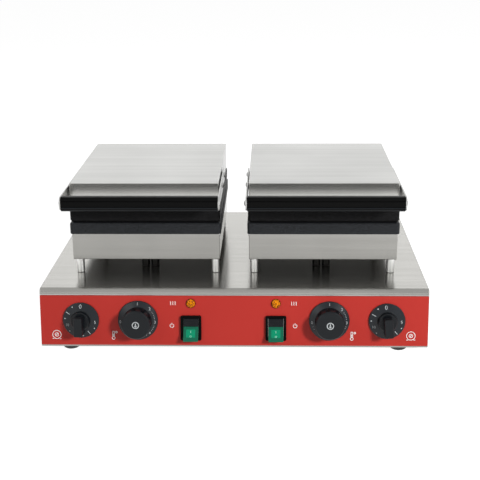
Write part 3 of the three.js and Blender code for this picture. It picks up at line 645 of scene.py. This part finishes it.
for part, body, open_side, second_side, finishes in (
    (
        "_lower_housing", "base", lambda normal: normal.z > 0.9, lambda normal: normal.z < -0.9,
        [sheet_steel, painted_shade_and_tinted_metals["housing"]],
    ),
    (
        "_upper_cover", "lid", lambda normal: normal.z < -0.9, lambda normal: normal.y < -0.8,
        [brushed_steels["coarse_painted_light"], brushed_steels["front_painted_light"]],
    ),
):
    for side in sides:
        node = side + part
        low, high, middle = box_of(node)
        bm = bmesh.new()
        add_block(bm, low, high)
        drop_faces(bm, open_side)
        bevel(bm, [edge for edge in bm.edges if len(edge.link_faces) == 2], pan_bend, 3)
        for face in bm.faces:
            face.material_index = int(second_side(face.normal))
        carrier = side + "_lid" if body == "lid" else body
        pan = make_piece(bm, node + "_folded", carrier, finishes, [node])
        give_thickness(pan, sheet)

# %% [markdown]
# ## Cast plates
# A plate has a flange, a thicker body on its far side, two hinge lugs and two waffle recesses. The
# flange's face is cut into cells with `bisect_plane`. The cells of each recess are pushed down
# together, and then each cell is inset and its middle raised again as a tapered peg.

# %% Cast plates
recess_rim = 26
cells_across, cells_along = 7, 4
waffle_gap = 10
recess_depth = 12
peg_below_face = 3.5
channel = 9.4
peg_draft = 2
flange_corner = 5


def add_plate(bm, half_x, half_y, pitch, flange, chamfer):
    """A flange with its working face up at Z 0, with both recesses and all pegs."""
    add_block(bm, (-half_x, -half_y, -flange), (half_x, half_y, 0))
    bevel(bm, edges_along(bm, Z), flange_corner, 4)
    face_edges = [edge for edge in bm.edges if all(v.co.z > -0.01 for v in edge.verts)]
    bevel(bm, face_edges, chamfer, 1)
    reach_x = cells_across / 2 * pitch
    reach_y = cells_along * pitch + waffle_gap / 2
    for i in range(cells_across + 1):
        cut_all(bm, (i * pitch - reach_x, 0, 0), (1, 0, 0))
    for start in (-reach_y, waffle_gap / 2):
        for i in range(cells_along + 1):
            cut_all(bm, (0, start + i * pitch, 0), (0, 1, 0))
    cells = [
        face for face in bm.faces
        if face.normal.z > 0.9
        and abs(face.calc_center_median().x) < reach_x
        and waffle_gap / 2 < abs(face.calc_center_median().y) < reach_y
    ]
    floor = draw_out(bm, cells, -recess_depth)
    bmesh.ops.inset_individual(bm, faces=floor, thickness=channel / 2, depth=0)
    pegs = bmesh.ops.extrude_discrete_faces(bm, faces=floor)["faces"]
    for face in pegs:
        middle = face.calc_center_median()
        shrink = 1 - 2 * peg_draft / (pitch - channel)
        bmesh.ops.scale(
            bm, vec=(shrink, shrink, 1), space=Matrix.Translation(-middle), verts=face.verts[:],
        )
    tops = list({v for face in pegs for v in face.verts})
    bmesh.ops.translate(bm, vec=(0, 0, recess_depth - peg_below_face), verts=tops)
    bmesh.ops.dissolve_limit(
        bm, angle_limit=math.radians(1), verts=bm.verts[:], edges=bm.edges[:],
    )
    return len(pegs)


# %% [markdown]
# The upper plate is the lower one turned over, so its shape is mirrored in Z and its faces are
# turned out again. Its lugs sit just outside those of the lower plate, on the same pin.

# %% Place the plates
lug_width = 14
lug_radius = 11.5
lug_edge = 0.6
lug_bite = 8
lug_steps = 32
pin_bore = 4.4
body_inset = 9
body_depth = 8
plate_bite = 1.5
face_gap = 0.15

for side in sides:
    head_low, head_high, head = box_of(side + "_upper_cover")
    pin_low, pin_high, pin = box_of(side + "_hinge_pin")
    upper_low, upper_high, upper = box_of(side + "_upper_plate")
    inner_x = (head_high.x - head_low.x) / 2 - body_inset
    inner_y = (head_high.y - head_low.y) / 2 - body_inset
    pitch = min(
        (upper_high.x - upper_low.x - 2 * recess_rim) / cells_across,
        (2 * (head.y - upper_low.y) - 2 * recess_rim - waffle_gap) / 2 / cells_along,
    )
    back = pin.y - head.y
    lay = Matrix.Rotation(math.pi / 2, 4, "Y")
    for where, body, flange, chamfer, inner_lug, up in (
        ("lower", "base", 17, 1.5, 62, 1), ("upper", side + "_lid", 19, 4, 76.5, -1),
    ):
        node = f"{side}_{where}_plate"
        low, high, middle = box_of(node)
        half_y = head.y - low.y
        bm = bmesh.new()
        pegs = add_plate(bm, (high.x - low.x) / 2, half_y, pitch, flange, chamfer)
        add_block(
            bm, (-inner_x, -inner_y, -flange - body_depth), (inner_x, inner_y, plate_bite - flange),
        )
        for direction in (-1, 1):
            near = min(direction * inner_lug, direction * (inner_lug + lug_width))
            far = near + lug_width
            add_block(
                bm, (near, half_y - lug_bite, face_gap - lug_radius),
                (far, back - pin_bore, -2 * face_gap),
            )
            add_turned(bm, [
                (pin_bore, near), (lug_radius - lug_edge, near), (lug_radius, near + lug_edge),
                (lug_radius, far - lug_edge), (lug_radius - lug_edge, far), (pin_bore, far),
                (pin_bore, near),
            ], lug_steps, Matrix.Translation((0, back, face_gap)) @ lay)
        if up < 0:
            bmesh.ops.scale(bm, vec=(1, 1, -1), verts=bm.verts)
            bmesh.ops.reverse_faces(bm, faces=bm.faces)
        bmesh.ops.translate(bm, vec=(head.x, head.y, pin.z - up * face_gap), verts=bm.verts)
        plate = make_piece(bm, node + "_cast", body, [cast_irons[where]], [node])
        soften(plate, 0.7)
    half = (pin_high.x - pin_low.x) / 2
    bm = bmesh.new()
    add_turned(bm, [
        (0, -half), (5.2, -half), (6.5, 1.2 - half), (6.5, 3 - half), (4, 3 - half), (4, half - 3),
        (6.5, half - 3), (6.5, half - 1.2), (5.2, half), (0, half),
    ], lug_steps, Matrix.Translation((head.x, pin.y, pin.z)) @ lay)
    make_piece(
        bm, side + "_hinge_pin_turned", "base", [turned_steels["polished"]],
        [side + "_hinge_pin"],
    )
print(pegs, "pegs on each plate, pitch", round(pitch, 2), "mm")

# %% [markdown]
# ## Lid arms
# Each arm is a flat steel strap with round ends. The block's four corner edges are bevelled until
# the ends are nearly half round, and a fine bevel breaks the cut edges. The domed screws and the
# spacers behind them are turned.

# %% Lid arms
spacer = 1.5
strap = 2
screw_pitch = 62
screw_radius, screw_rise = 4.5, 2.4
screw_steps = 24


def on_wall(out, x, y, z):
    """A place on a side wall, with its Z axis pointing out to the left (-1) or the right (1)."""
    return Matrix.Translation((x, y, z)) @ Matrix.Rotation(out * math.pi / 2, 4, "Y")


def add_screw(bm, matrix, radius, rise):
    """A domed head with its flat side on the sheet. The dome points along the matrix's Z axis."""
    arc = [math.radians(angle) for angle in (8, 25, 42, 58, 74)]
    dome = [(radius * math.cos(angle), rise * math.sin(angle)) for angle in arc]
    profile = [(0, -0.8), (radius, -0.8), (radius, 0), *dome, (0, rise)]
    add_turned(bm, profile, screw_steps, matrix)


for side in sides:
    cover_low, cover_high = box_of(side + "_upper_cover")[:2]
    for hand, wall, out in (("left", cover_low.x, -1), ("right", cover_high.x, 1)):
        node = f"{side}_{hand}_arm"
        low, high, middle = box_of(node)
        inner = wall + out * spacer
        outer = inner + out * strap
        half = (high.z - low.z) / 2
        bm = bmesh.new()
        add_block(bm, (min(inner, outer), low.y, low.z), (max(inner, outer), high.y, high.z))
        bevel(bm, edges_along(bm, X), half - 0.3, 8)
        for i, y in enumerate((low.y + half, high.y - half - screw_pitch, high.y - half)):
            add_screw(bm, on_wall(out, outer, y, middle.z), screw_radius, screw_rise)
            if i:
                behind = on_wall(out, inner, y, middle.z)
                add_turned(bm, [(0, -1.4), (5, -1.4), (5, 0.8), (0, 0.8)], screw_steps, behind)
        # The arm takes the lids' paler steel, whose tone is painted light.
        arm = make_piece(
            bm, node + "_cut", side + "_lid", [brushed_steels["coarse_painted_light"]], [node],
        )
        soften(arm, 0.4, 2, 60)

# %% [markdown]
# ## Handle bars
# The bar is moulded phenolic with two grooves along its front. Its long edges get a round bevel,
# the one behind the top a larger one. Then three cuts with `bisect_plane` mark each groove and the
# middle line is pushed in. Cloths have rubbed the lower flank of each groove and the lower edge
# smooth, so these faces get the shinier finish of the knobs.

# %% Handle bars
handle_round = 4.5
handle_back_round = 10
groove_shares = (0.29, 0.71)
groove_half = 1.6
groove_depth = 1.4

for side in sides:
    node = side + "_handle_bar"
    low, high, middle = box_of(node)
    bm = bmesh.new()
    add_block(bm, low, high)
    bevel(bm, edges_along(bm, X, lambda spot: min(spot.yz - middle.yz) > 0), handle_back_round, 8)
    corners = edges_along(bm, X, lambda spot: min(spot.yz - low.yz) < 1)
    bevel(bm, corners, handle_round, 6)
    for share in groove_shares:
        level = low.z + share * (high.z - low.z)
        for step in (-groove_half, 0, groove_half):
            cut_all(bm, (0, 0, level + step), (0, 0, 1))
        for v in bm.verts:
            if abs(v.co.z - level) < 0.01 and v.co.y < low.y + 2:
                v.co.y += groove_depth
    for face in bm.faces:
        share = (face.calc_center_median().z - low.z) / (high.z - low.z)
        flank = face.normal.z > 0.3 and share < 0.8
        lip = face.normal.z < -0.3 and share < 0.15
        face.material_index = int(face.normal.y < -0.2 and (flank or lip))
    bar = make_piece(
        bm, node + "_moulded", side + "_lid", [black_plastics["handle"], black_plastics["knob"]],
        [node],
    )
    soften(bar, 0.5, 2, 30)

# %% [markdown]
# ## Screws on the housings and covers
# Small domed screws hold the housing to the plate and the cover to its frame. They show on the
# sides that face the gap between the heads, and the same ones sit on the outer sides.

# %% Small screws
small_radius, small_rise = 2.6, 1.2

for side in sides:
    for part, body, spots in (
        ("lower_housing", "base", ((8, 38), (229, 38))),
        ("upper_cover", side + "_lid", ((236, 5),)),
    ):
        low, high, middle = box_of(f"{side}_{part}")
        bm = bmesh.new()
        for wall, out in ((low.x, -1), (high.x, 1)):
            for along, up in spots:
                spot = on_wall(out, wall, low.y + along, low.z + up)
                add_screw(bm, spot, small_radius, small_rise)
        make_piece(
            bm, f"{side}_{part}_screws", body, [turned_steels["polished"]],
        )

# %% [markdown]
# ## The panel's own axes
# The controls are made lying flat, with Z out of the panel, and one matrix then leans them back
# onto the front. A place on the panel is a distance from the middle and a distance down.

# %% Panel axes
lean_turn = Matrix.Rotation(math.pi / 2 - lean, 4, "X")
panel = Matrix.Translation((0, top_front, base_high.z)) @ lean_turn
panel_face = 1.3
knob_drop = 47.5
switch_drop = 59
lamp_drop = 21.5


def on_panel(x, drop, rise):
    return panel @ Matrix.Translation((x, -drop, rise))


def control_place(node, drop, rise):
    return on_panel(box_of(node)[2].x, drop, rise)


# %% [markdown]
# ## Strip above the red front
# A narrow steel strip covers the upper edge of the red front. Its front edge is rounded, and it
# takes the lids' paler steel, so that it paints a bright line of highlight above the red.

# %% Strip
panel_low, panel_high = box_of("front_panel")[:2]
strip_drop = (base_high.z - panel_high.z) / math.cos(lean)
bm = bmesh.new()
add_block(bm, (panel_low.x, 0.05 - strip_drop, 0), (panel_high.x, 1.7 - strip_drop, 1.2))
bevel(bm, edges_along(bm, X, lambda middle: middle.z > 1), 0.7, 3)
place(bm, panel)
# The strip's pale steel paints the highlight line above the red front.
make_piece(bm, "front_panel_highlight_strip", "base", [brushed_steels["coarse_painted_light"]])
print("strip", round(strip_drop, 1), "mm below the base's top")

# %% [markdown]
# ## Marks
# Numbers are text objects that are turned into meshes, thin as a layer of ink. Ticks and dots are
# small blocks and discs on a circle round the dial's axis.

# %% Marks helpers
ink = 0.12
dot_steps, ring_steps = 12, 32


def add_text(bm, words, size, matrix):
    """Adds a word as a thin mesh, centred on the matrix's place."""
    text = bpy.data.curves.new("mark", "FONT")
    text.body = words
    text.size = size
    text.extrude = ink / 2
    text.align_x = "CENTER"
    text.align_y = "CENTER"
    carrier = bpy.data.objects.new("mark", text)
    bpy.context.scene.collection.objects.link(carrier)
    bpy.context.view_layer.update()
    mesh = bpy.data.meshes.new_from_object(carrier)
    mesh.transform(matrix)
    bm.from_mesh(mesh)
    bpy.data.objects.remove(carrier)
    bpy.data.meshes.remove(mesh)


def add_tick(bm, matrix, length, width):
    add_block(bm, (-width / 2, -length / 2, -ink / 2), (width / 2, length / 2, ink / 2), matrix)


def add_dot(bm, matrix, radius):
    rim = [(radius, -ink / 2), (radius, ink / 2)]
    add_turned(bm, [(0, -ink / 2), *rim, (0, ink / 2)], dot_steps, matrix)


def add_ring(bm, matrix, inner, width):
    outer = inner + width
    section = [(inner, -ink / 2), (outer, -ink / 2), (outer, ink / 2), (inner, ink / 2)]
    add_turned(bm, section + section[:1], ring_steps, matrix)


def round_dial(angle, radius, height=0, slope=0):
    """A place on a dial, clockwise from the top. Its Y axis points away from the middle."""
    turned = Matrix.Rotation(-math.radians(angle), 4, "Z")
    return turned @ Matrix.Translation((0, radius, height)) @ Matrix.Rotation(-slope, 4, "X")


def add_numbers(bm, here, numbers, height, slope):
    """Each number has its angle, its words, its size and its distance from the middle."""
    for angle, words, size, radius in numbers:
        upright = Matrix.Rotation(math.radians(angle), 4, "Z")
        add_text(bm, words, size, here @ round_dial(angle, radius, height, slope) @ upright)


# %% [markdown]
# ## Timer knobs
# The skirt and hub are turned, and the hub has the grip's finish. The bar grip is a block with
# round ends that reaches further to one side, where it points at the numbers. Its edges are
# softened by a Bevel modifier. The right knob isn't quite at its zero: someone has touched it, so
# it stands 5 degrees further.

# %% Timer knobs
knob_back = panel_face + 0.5
knob_finishes = [black_plastics["skirt"], black_plastics["knob"]]
timer_radius, timer_hub = 27, 15.6
timer_steps = 72
timer_turns = {"left": 0, "right": math.radians(5)}


def timer_place(side):
    middle = control_place(side + "_timer_knob", knob_drop, knob_back)
    return middle @ Matrix.Rotation(timer_turns[side], 4, "Z")


def mark_hub(bm, radius):
    """The second finish for the faces within a radius of the knob's own axis."""
    for face in bm.faces:
        face.material_index = int(all(math.hypot(*v.co.xy) < radius for v in face.verts))


for side in sides:
    node = side + "_timer_knob"
    bm = bmesh.new()
    add_turned(bm, [
        (3.5, 0), (timer_radius - 0.6, 0), (timer_radius, 0.6), (timer_radius, 2.1),
        (timer_radius - 0.7, 2.8), (timer_hub, 5), (timer_hub - 1, 6), (13.8, 12), (12.8, 13),
        (0, 13), (0, 11), (3.5, 11), (3.5, 0),
    ], timer_steps)
    mark_hub(bm, timer_hub + 0.1)
    place(bm, timer_place(side))
    make_piece(bm, node + "_turned", side + "_timer", knob_finishes, [node])
    bm = bmesh.new()
    add_block(bm, (-6.8, -18.8, 3.2), (6.8, 9.5, 29.9))
    bevel(bm, edges_along(bm, Z), 2, 4)
    for v in bm.verts:
        if v.co.z > 25:
            v.co.x *= 0.9
    place(bm, timer_place(side))
    grip = make_piece(
        bm, side + "_timer_grip", side + "_timer", [black_plastics["knob"]],
    )
    soften(grip, 0.9, 3)

# %% [markdown]
# The dial reads in minutes: a large 0 at the top, a small 5 and 10, long strokes at the quarter
# hours and dots between them.

# %% Timer marks
timer_slope = math.atan2(2.2, 10.7)
timer_numbers = ((0, "0", 8.4, 21.2), (98, "5", 6.5, 21.5), (-109, "10", 6, 21.5))
number_rise, stroke_rise, dot_rise = 3.9, 3.8, 3.45
timer_strokes, stroke_length, stroke_width = (-59, 147), 6.4, 1
timer_dots, dot_radius = (-31, -83, -134, 121, 173), 1

for side in sides:
    here = timer_place(side)
    bm = bmesh.new()
    add_numbers(bm, here, timer_numbers, number_rise, timer_slope)
    for angle in timer_strokes:
        spot = here @ round_dial(angle, 22, stroke_rise, timer_slope)
        add_tick(bm, spot, stroke_length, stroke_width)
    for angle in timer_dots:
        add_dot(bm, here @ round_dial(angle, 23.6, dot_rise, timer_slope), dot_radius)
    make_piece(bm, side + "_timer_marks", side + "_timer", [inks["grey"]])

# %% [markdown]
# ## Thermostat knobs
# The skirt rises in a cone to a round grip. The grip is turned with many steps. Its finger hollows
# are pressed in by moving the side's vertices towards the axis, and they run out at both ends, so
# that the grip's foot and its front face stay round.

# %% Thermostat knobs
grip = 21.5
flutes = 10
flute_steps = 180
flute_depth = 2.6
flute_low = 8.5
flute_high = 28.2
flute_fade = 2.5
grip_levels = (
    6.5, flute_low, flute_low + flute_fade, (flute_low + flute_high) / 2, flute_high - flute_fade,
    flute_high - flute_fade / 2, flute_high,
)

for side in sides:
    node = side + "_thermostat_knob"
    bm = bmesh.new()
    add_turned(bm, [
        (3.5, 0), (29.4, 0), (30, 0.6), (30, 2), (29.3, 2.6), (grip + 0.8, 6.1),
        *[(grip, level) for level in grip_levels],
        (grip - 0.2, 28.4), (grip - 0.8, 29.4), (grip - 1.8, 29.9), (grip - 2.6, 29.9), (0, 29.9),
        (0, 11), (3.5, 11), (3.5, 0),
    ], flute_steps)
    for v in bm.verts:
        spread = math.hypot(*v.co.xy)
        if abs(spread - grip) < 0.01:
            ends = min(v.co.z - flute_low, flute_high - v.co.z) / flute_fade
            wave = math.cos(flutes * math.atan2(v.co.y, v.co.x) + math.pi / 2)
            press = flute_depth * max(wave, 0) ** 0.8 * min(max(ends, 0), 1)
            v.co.xy *= 1 - press / spread
    mark_hub(bm, grip + 0.1)
    place(bm, control_place(node, knob_drop, knob_back))
    body = side + "_thermostat"
    make_piece(bm, node + "_turned", body, knob_finishes, [node], sharp=50)

# %% [markdown]
# The numbers 0 to 4 stand round the skirt with fine dots between them, and a small thermometer in
# a ring is printed on the grip's face.

# %% Thermostat marks
thermostat_slope = math.atan2(3.5, 7)
thermostat_numbers = [
    (angle, words, 6.2, 25.8)
    for angle, words in ((-94, "0"), (0, "1"), (45, "2"), (95, "3"), (137, "4"))
]
thermostat_dots = (-118, -108, 58, 64, 70, 76, 82, 108, 114, 120, 126, 150, 158)

for side in sides:
    here = control_place(side + "_thermostat_knob", knob_drop, knob_back)
    bm = bmesh.new()
    add_numbers(bm, here, thermostat_numbers, 4.5, thermostat_slope)
    for angle in thermostat_dots:
        add_dot(bm, here @ round_dial(angle, 25.4, 4.7, thermostat_slope), 0.5)
    top = here @ Matrix.Translation((0, 0, 29.95))
    add_ring(bm, top, 4, 1.3)
    add_tick(bm, top @ Matrix.Translation((0, 0.9, 0)), 4.2, 1.5)
    add_dot(bm, top @ Matrix.Translation((0, -1.5, 0)), 1.7)
    make_piece(bm, side + "_thermostat_marks", side + "_thermostat", [inks["grey"]])

# %% [markdown]
# ## Switch frames
# The frame is a block whose front face is inset and pushed in to make room for the rocker, and
# whose back face is inset and drawn out to the sleeve behind the panel. The outer corners are
# rounded afterwards, so that the pocket keeps its square corners.

# %% Switch frames
bezel_x, bezel_y, bezel_depth = 31, 38, 4
bezel_back = panel_face + 0.3

for side in sides:
    node = side + "_switch_frame"
    bm = bmesh.new()
    add_block(bm, (-bezel_x / 2, -bezel_y / 2, 0), (bezel_x / 2, bezel_y / 2, bezel_depth))
    front = [face for face in bm.faces if face.normal.z > 0.9]
    back = [face for face in bm.faces if face.normal.z < -0.9]
    for faces, rim, shift in ((front, 3.8, -26), (back, 2.6, -25)):
        bmesh.ops.inset_region(bm, faces=faces, thickness=rim, depth=0, use_even_offset=True)
        draw_out(bm, faces, shift)
    outer = edges_along(bm, Z, lambda middle: abs(middle.x) > bezel_x / 2 - 0.1)
    bevel(bm, outer, 2.5, 4)
    place(bm, control_place(node, switch_drop, bezel_back))
    switch = make_piece(
        bm, node + "_moulded", "base", [black_plastics["frame"]], [node],
    )
    soften(switch, 0.4)

# %% [markdown]
# ## Rockers
# A rocker's side view is one outline: a black upper half, which is pressed in, and a green lens
# that stands out below it and overhangs the frame with a nose. Each half is drawn as a face and
# extruded across. The upper half has ribs for the finger, and the lens has a brighter window with
# the marks I and O.


# %% Rocker helper
def add_prism(bm, outline, half):
    """Draws an outline of (y, z) points and extrudes it along X, from -half to half."""
    face = bm.faces.new([bm.verts.new((-half, y, z)) for y, z in outline])
    drawn = bmesh.ops.extrude_face_region(bm, geom=[face])["geom"]
    corners = [part for part in drawn if isinstance(part, bmesh.types.BMVert)]
    bmesh.ops.translate(bm, vec=(2 * half, 0, 0), verts=corners)
    bmesh.ops.recalc_face_normals(bm, faces=bm.faces[:])


# %% Rockers
rocker_half = 11.2
rib_half = rocker_half - 1.4
pivot_rise = panel_face + 1.2
mark_rise = 0.22
dish = (2.6, 3)
nose = (-17.4, 15.4)
upper_outline = (dish, (2.6, -7.6), (12.3, -7.6), (14, -4.2), (14.6, -0.6), (14.4, 2.2))
lens_outline = (
    nose, (-17.6, 11.6), (-12.6, 8.2), (-14.2, 3.4), (-14.6, -0.6), (-12.4, -7.6), (2.5, -7.6),
    dish,
)
slope_angle = math.atan2(nose[1] - dish[1], dish[0] - nose[0])

for side in sides:
    node = side + "_rocker"
    here = control_place(node, switch_drop, pivot_rise)
    bm = bmesh.new()
    add_prism(bm, upper_outline, rocker_half)
    for rib in range(4):
        y = 4 + 2.6 * rib
        level = dish[1] - 0.8 * (y - dish[0]) / (14.4 - dish[0])
        add_block(bm, (-rib_half, y, level - 0.6), (rib_half, y + 1.2, level + 0.8))
    place(bm, here)
    upper_half = make_piece(
        bm, node + "_upper_half", node, [black_plastics["knob"]], [node],
    )
    soften(upper_half, 0.4)
    bm = bmesh.new()
    add_prism(bm, lens_outline, rocker_half)
    bevel(bm, edges_along(bm, Z, lambda middle: middle.y < -15), 3, 4)
    place(bm, here)
    lens = make_piece(bm, node + "_lens", node, [lenses["green"]], [node])
    soften(lens, 0.8, 3, 25)
    slope = here @ Matrix.Translation((0, *dish)) @ Matrix.Rotation(-slope_angle, 4, "X")
    bm = bmesh.new()
    add_block(bm, (-6.8, -16.8, -0.3), (6.8, -4.4, 0.15), slope)
    window = make_piece(bm, node + "_window", node, [lenses["window"]])
    soften(window, 0.1, 1)
    bm = bmesh.new()
    add_tick(bm, slope @ Matrix.Translation((0, -8, mark_rise)), 3.4, 0.8)
    add_ring(bm, slope @ Matrix.Translation((0, -15.2, mark_rise)), 0.9, 0.6)
    make_piece(bm, node + "_marks", node, [inks["pale_green"]])

# %% [markdown]
# ## Pilot lamps
# A lamp is a turned body with a thin dark collar and a lens with flat facets. The lens starts as
# an icosphere, which is all facets already: its lower part is cut off and the rest is flattened.

# %% Pilot lamps
lens_radius = 6.7
lens_rise = 3.4

for side in sides:
    node = side + "_pilot_lamp"
    here = control_place(node, lamp_drop, bezel_back)
    bm = bmesh.new()
    add_turned(bm, [
        (0, -27.1), (4.8, -27.1), (4.8, 0), (6.8, 0), (7, 0.3), (7, 1.1), (6.5, 1.5), (0, 1.5),
    ], round_steps, here)
    make_piece(
        bm, side + "_lamp_collar", "base", [black_plastics["frame"]], [node],
    )
    bm = bmesh.new()
    bmesh.ops.create_icosphere(bm, subdivisions=2, radius=lens_radius)
    cut_all(bm, (0, 0, 0), (0, 0, 1), clear_inner=True)
    bmesh.ops.holes_fill(bm, edges=[edge for edge in bm.edges if len(edge.link_faces) == 1])
    bmesh.ops.scale(bm, vec=(1, 1, lens_rise / lens_radius), verts=bm.verts)
    place(bm, here @ Matrix.Translation((0, 0, 1.45)))
    make_piece(bm, side + "_lamp_lens", "base", [lenses["amber"]], [node], sharp=5)

# %% [markdown]
# ## Printed symbols
# Beside the dials the panel carries small printed symbols: an alarm clock for each timer and a
# thermometer with a degree ring for each thermostat. Three rising waves stand for heat beside each
# lamp, and the common sign for power stands beside each switch. All are thin lines of ink.

# %% Panel symbols
ink_rise = panel_face + ink / 2 + 0.02
line = 0.9


def shifted(matrix, x, y, degrees=0):
    return matrix @ Matrix.Translation((x, y, 0)) @ Matrix.Rotation(math.radians(degrees), 4, "Z")


def add_clock(bm, here):
    add_ring(bm, here, 5.9, line)
    add_ring(bm, here, 2.2, line)
    add_tick(bm, shifted(here, 0, 0, -45), 3.6, line)
    for x in (-5.4, 5.4):
        add_tick(bm, shifted(here, x, -6.4, 90), 2.6, line)


def add_thermometer(bm, here):
    add_ring(bm, here, 1.7, line)
    for x in (-1.3, 1.3):
        add_tick(bm, shifted(here, x, 6), 8.4, line)
    add_tick(bm, shifted(here, 0, 10.3, 90), 3.2, line)
    add_tick(bm, shifted(here, 0, 4), 5, line)
    add_ring(bm, shifted(here, 4.4, 9), 0.8, line)


def add_heat(bm, here):
    for x in (-3.4, 0, 3.4):
        for y, slant in ((-1.7, 24), (0, -24), (1.7, 24)):
            add_tick(bm, shifted(here, x, y, slant), 2.3, line)


def add_power(bm, here):
    for step in range(15):
        spot = here @ round_dial(45 + 270 * step / 14, 2.8)
        add_tick(bm, shifted(spot, 0, 0, 90), 0.9, line)
    add_tick(bm, shifted(here, 0, 2.4), 3.2, line)


bm = bmesh.new()
for sign in sides.values():
    add_clock(bm, on_panel(sign * 264.7 - 0.8, 70.5, ink_rise))
    add_thermometer(bm, on_panel(sign * 178.2 - 1.8, 75.5, ink_rise))
    add_heat(bm, on_panel(sign * 90, lamp_drop, ink_rise))
    add_power(bm, on_panel(sign * 92, switch_drop - 3, ink_rise))
make_piece(bm, "panel_symbols", "base", [inks["white"]])

# %% [markdown]
# ## Flat faces that shade flat
# Smooth shading blends the normals of a large flat face with those of the narrow bend beside it,
# so mirror images in the sheet would come out bent. Weighted normals let the largest face win at
# each corner, and the modifier comes last, after the bevels.

# %% Weighted normals
for piece in pieces:
    modifier = piece.modifiers.new("flat_faces", "WEIGHTED_NORMAL")
    modifier.keep_sharp = True
    modifier.weight = 100
print(len(pieces), "pieces with weighted normals")

# %% [markdown]
# ## The studio
# The machine stands on a plain pale floor in soft light. The camera and mirror-like surfaces see
# the world as plain white, while its light on the object stays at a plain level. The floor adds a
# little white for the camera, so it reads as white but keeps the shadow.


# %% World
def seen_directly(tree):
    """1 for rays from the camera, a mirror image or a clear piece, and 0 for other light."""
    rays = add_node(tree, "ShaderNodeLightPath", {}, {}).outputs
    seen = rays["Is Camera Ray"]
    for ray in ("Is Glossy Ray", "Is Transmission Ray"):
        either = {0: seen, 1: rays[ray]}
        seen = add_node(tree, "ShaderNodeMath", {"operation": "MAXIMUM"}, either).outputs["Value"]
    return seen


bpy.context.scene.view_settings.view_transform = "Standard"
world = bpy.data.worlds.new("studio")
bpy.context.scene.world = world
world.use_nodes = True
tree = world.node_tree
background = tree.nodes["Background"]
background.inputs["Color"].default_value = (1, 1, 1, 1)
level = remap(tree, seen_directly(tree), 0, 1, 0.2, 1)
tree.links.new(level, background.inputs["Strength"])

# %% Floor
floor_half = 12

pale_floor, tree, shader = start_finish(
    "pale_studio_floor", Base_Color=linear("#C0C0C0"), Roughness=0.9, Specular_IOR_Level=0.0,
)
white_share = remap(tree, seen_directly(tree), 0, 1, 0, 0.87)
glow = add_node(tree, "ShaderNodeEmission", {"Color": (1, 1, 1, 1)}, {"Strength": white_share})
both = add_node(
    tree, "ShaderNodeAddShader", {}, {0: shader.outputs["BSDF"], 1: glow.outputs["Emission"]},
)
tree.links.new(both.outputs["Shader"], tree.nodes["Material Output"].inputs["Surface"])

bm = bmesh.new()
bmesh.ops.create_grid(bm, x_segments=1, y_segments=1, size=floor_half)
mesh = bpy.data.meshes.new("floor")
bm.to_mesh(mesh)
bm.free()
mesh.materials.append(pale_floor)
floor = bpy.data.objects.new("floor", mesh)
bpy.context.scene.collection.objects.link(floor)

# %% [markdown]
# Area lamps do the rest. The key on the front right throws the knobs' shadows down to the left,
# and is hidden from reflections, because a small bright lamp burns out in brushed steel. Two large
# softboxes in front give the legs and the knobs a mild sheen. A long lamp behind brightens the
# tops of the lids with its mirror image. None of them shows itself to the camera.


# %% Lamps
def add_lamp(name, place, target, width, height, power):
    data = bpy.data.lights.new(name, "AREA")
    data.shape = "RECTANGLE"
    data.size = width
    data.size_y = height
    data.energy = power
    lamp = bpy.data.objects.new(name, data)
    bpy.context.scene.collection.objects.link(lamp)
    aim = (Vector(target) - Vector(place)).to_track_quat("-Z", "Y")
    lamp.matrix_world = Matrix.Translation(place) @ aim.to_matrix().to_4x4()
    lamp.visible_camera = False
    return lamp


machine_middle = (0, 0, 0.1)
key = add_lamp("key", (1.5, -2.2, 1.2), machine_middle, 0.35, 0.35, 66)
key.visible_glossy = False
for x in (-1.6, 1.8):
    add_lamp("softbox", (x, -1.7, 1.4), machine_middle, 1.2, 1.2, 11)
add_lamp("back", (0, 2.6, 1.3), machine_middle, 3.2, 1.1, 14)
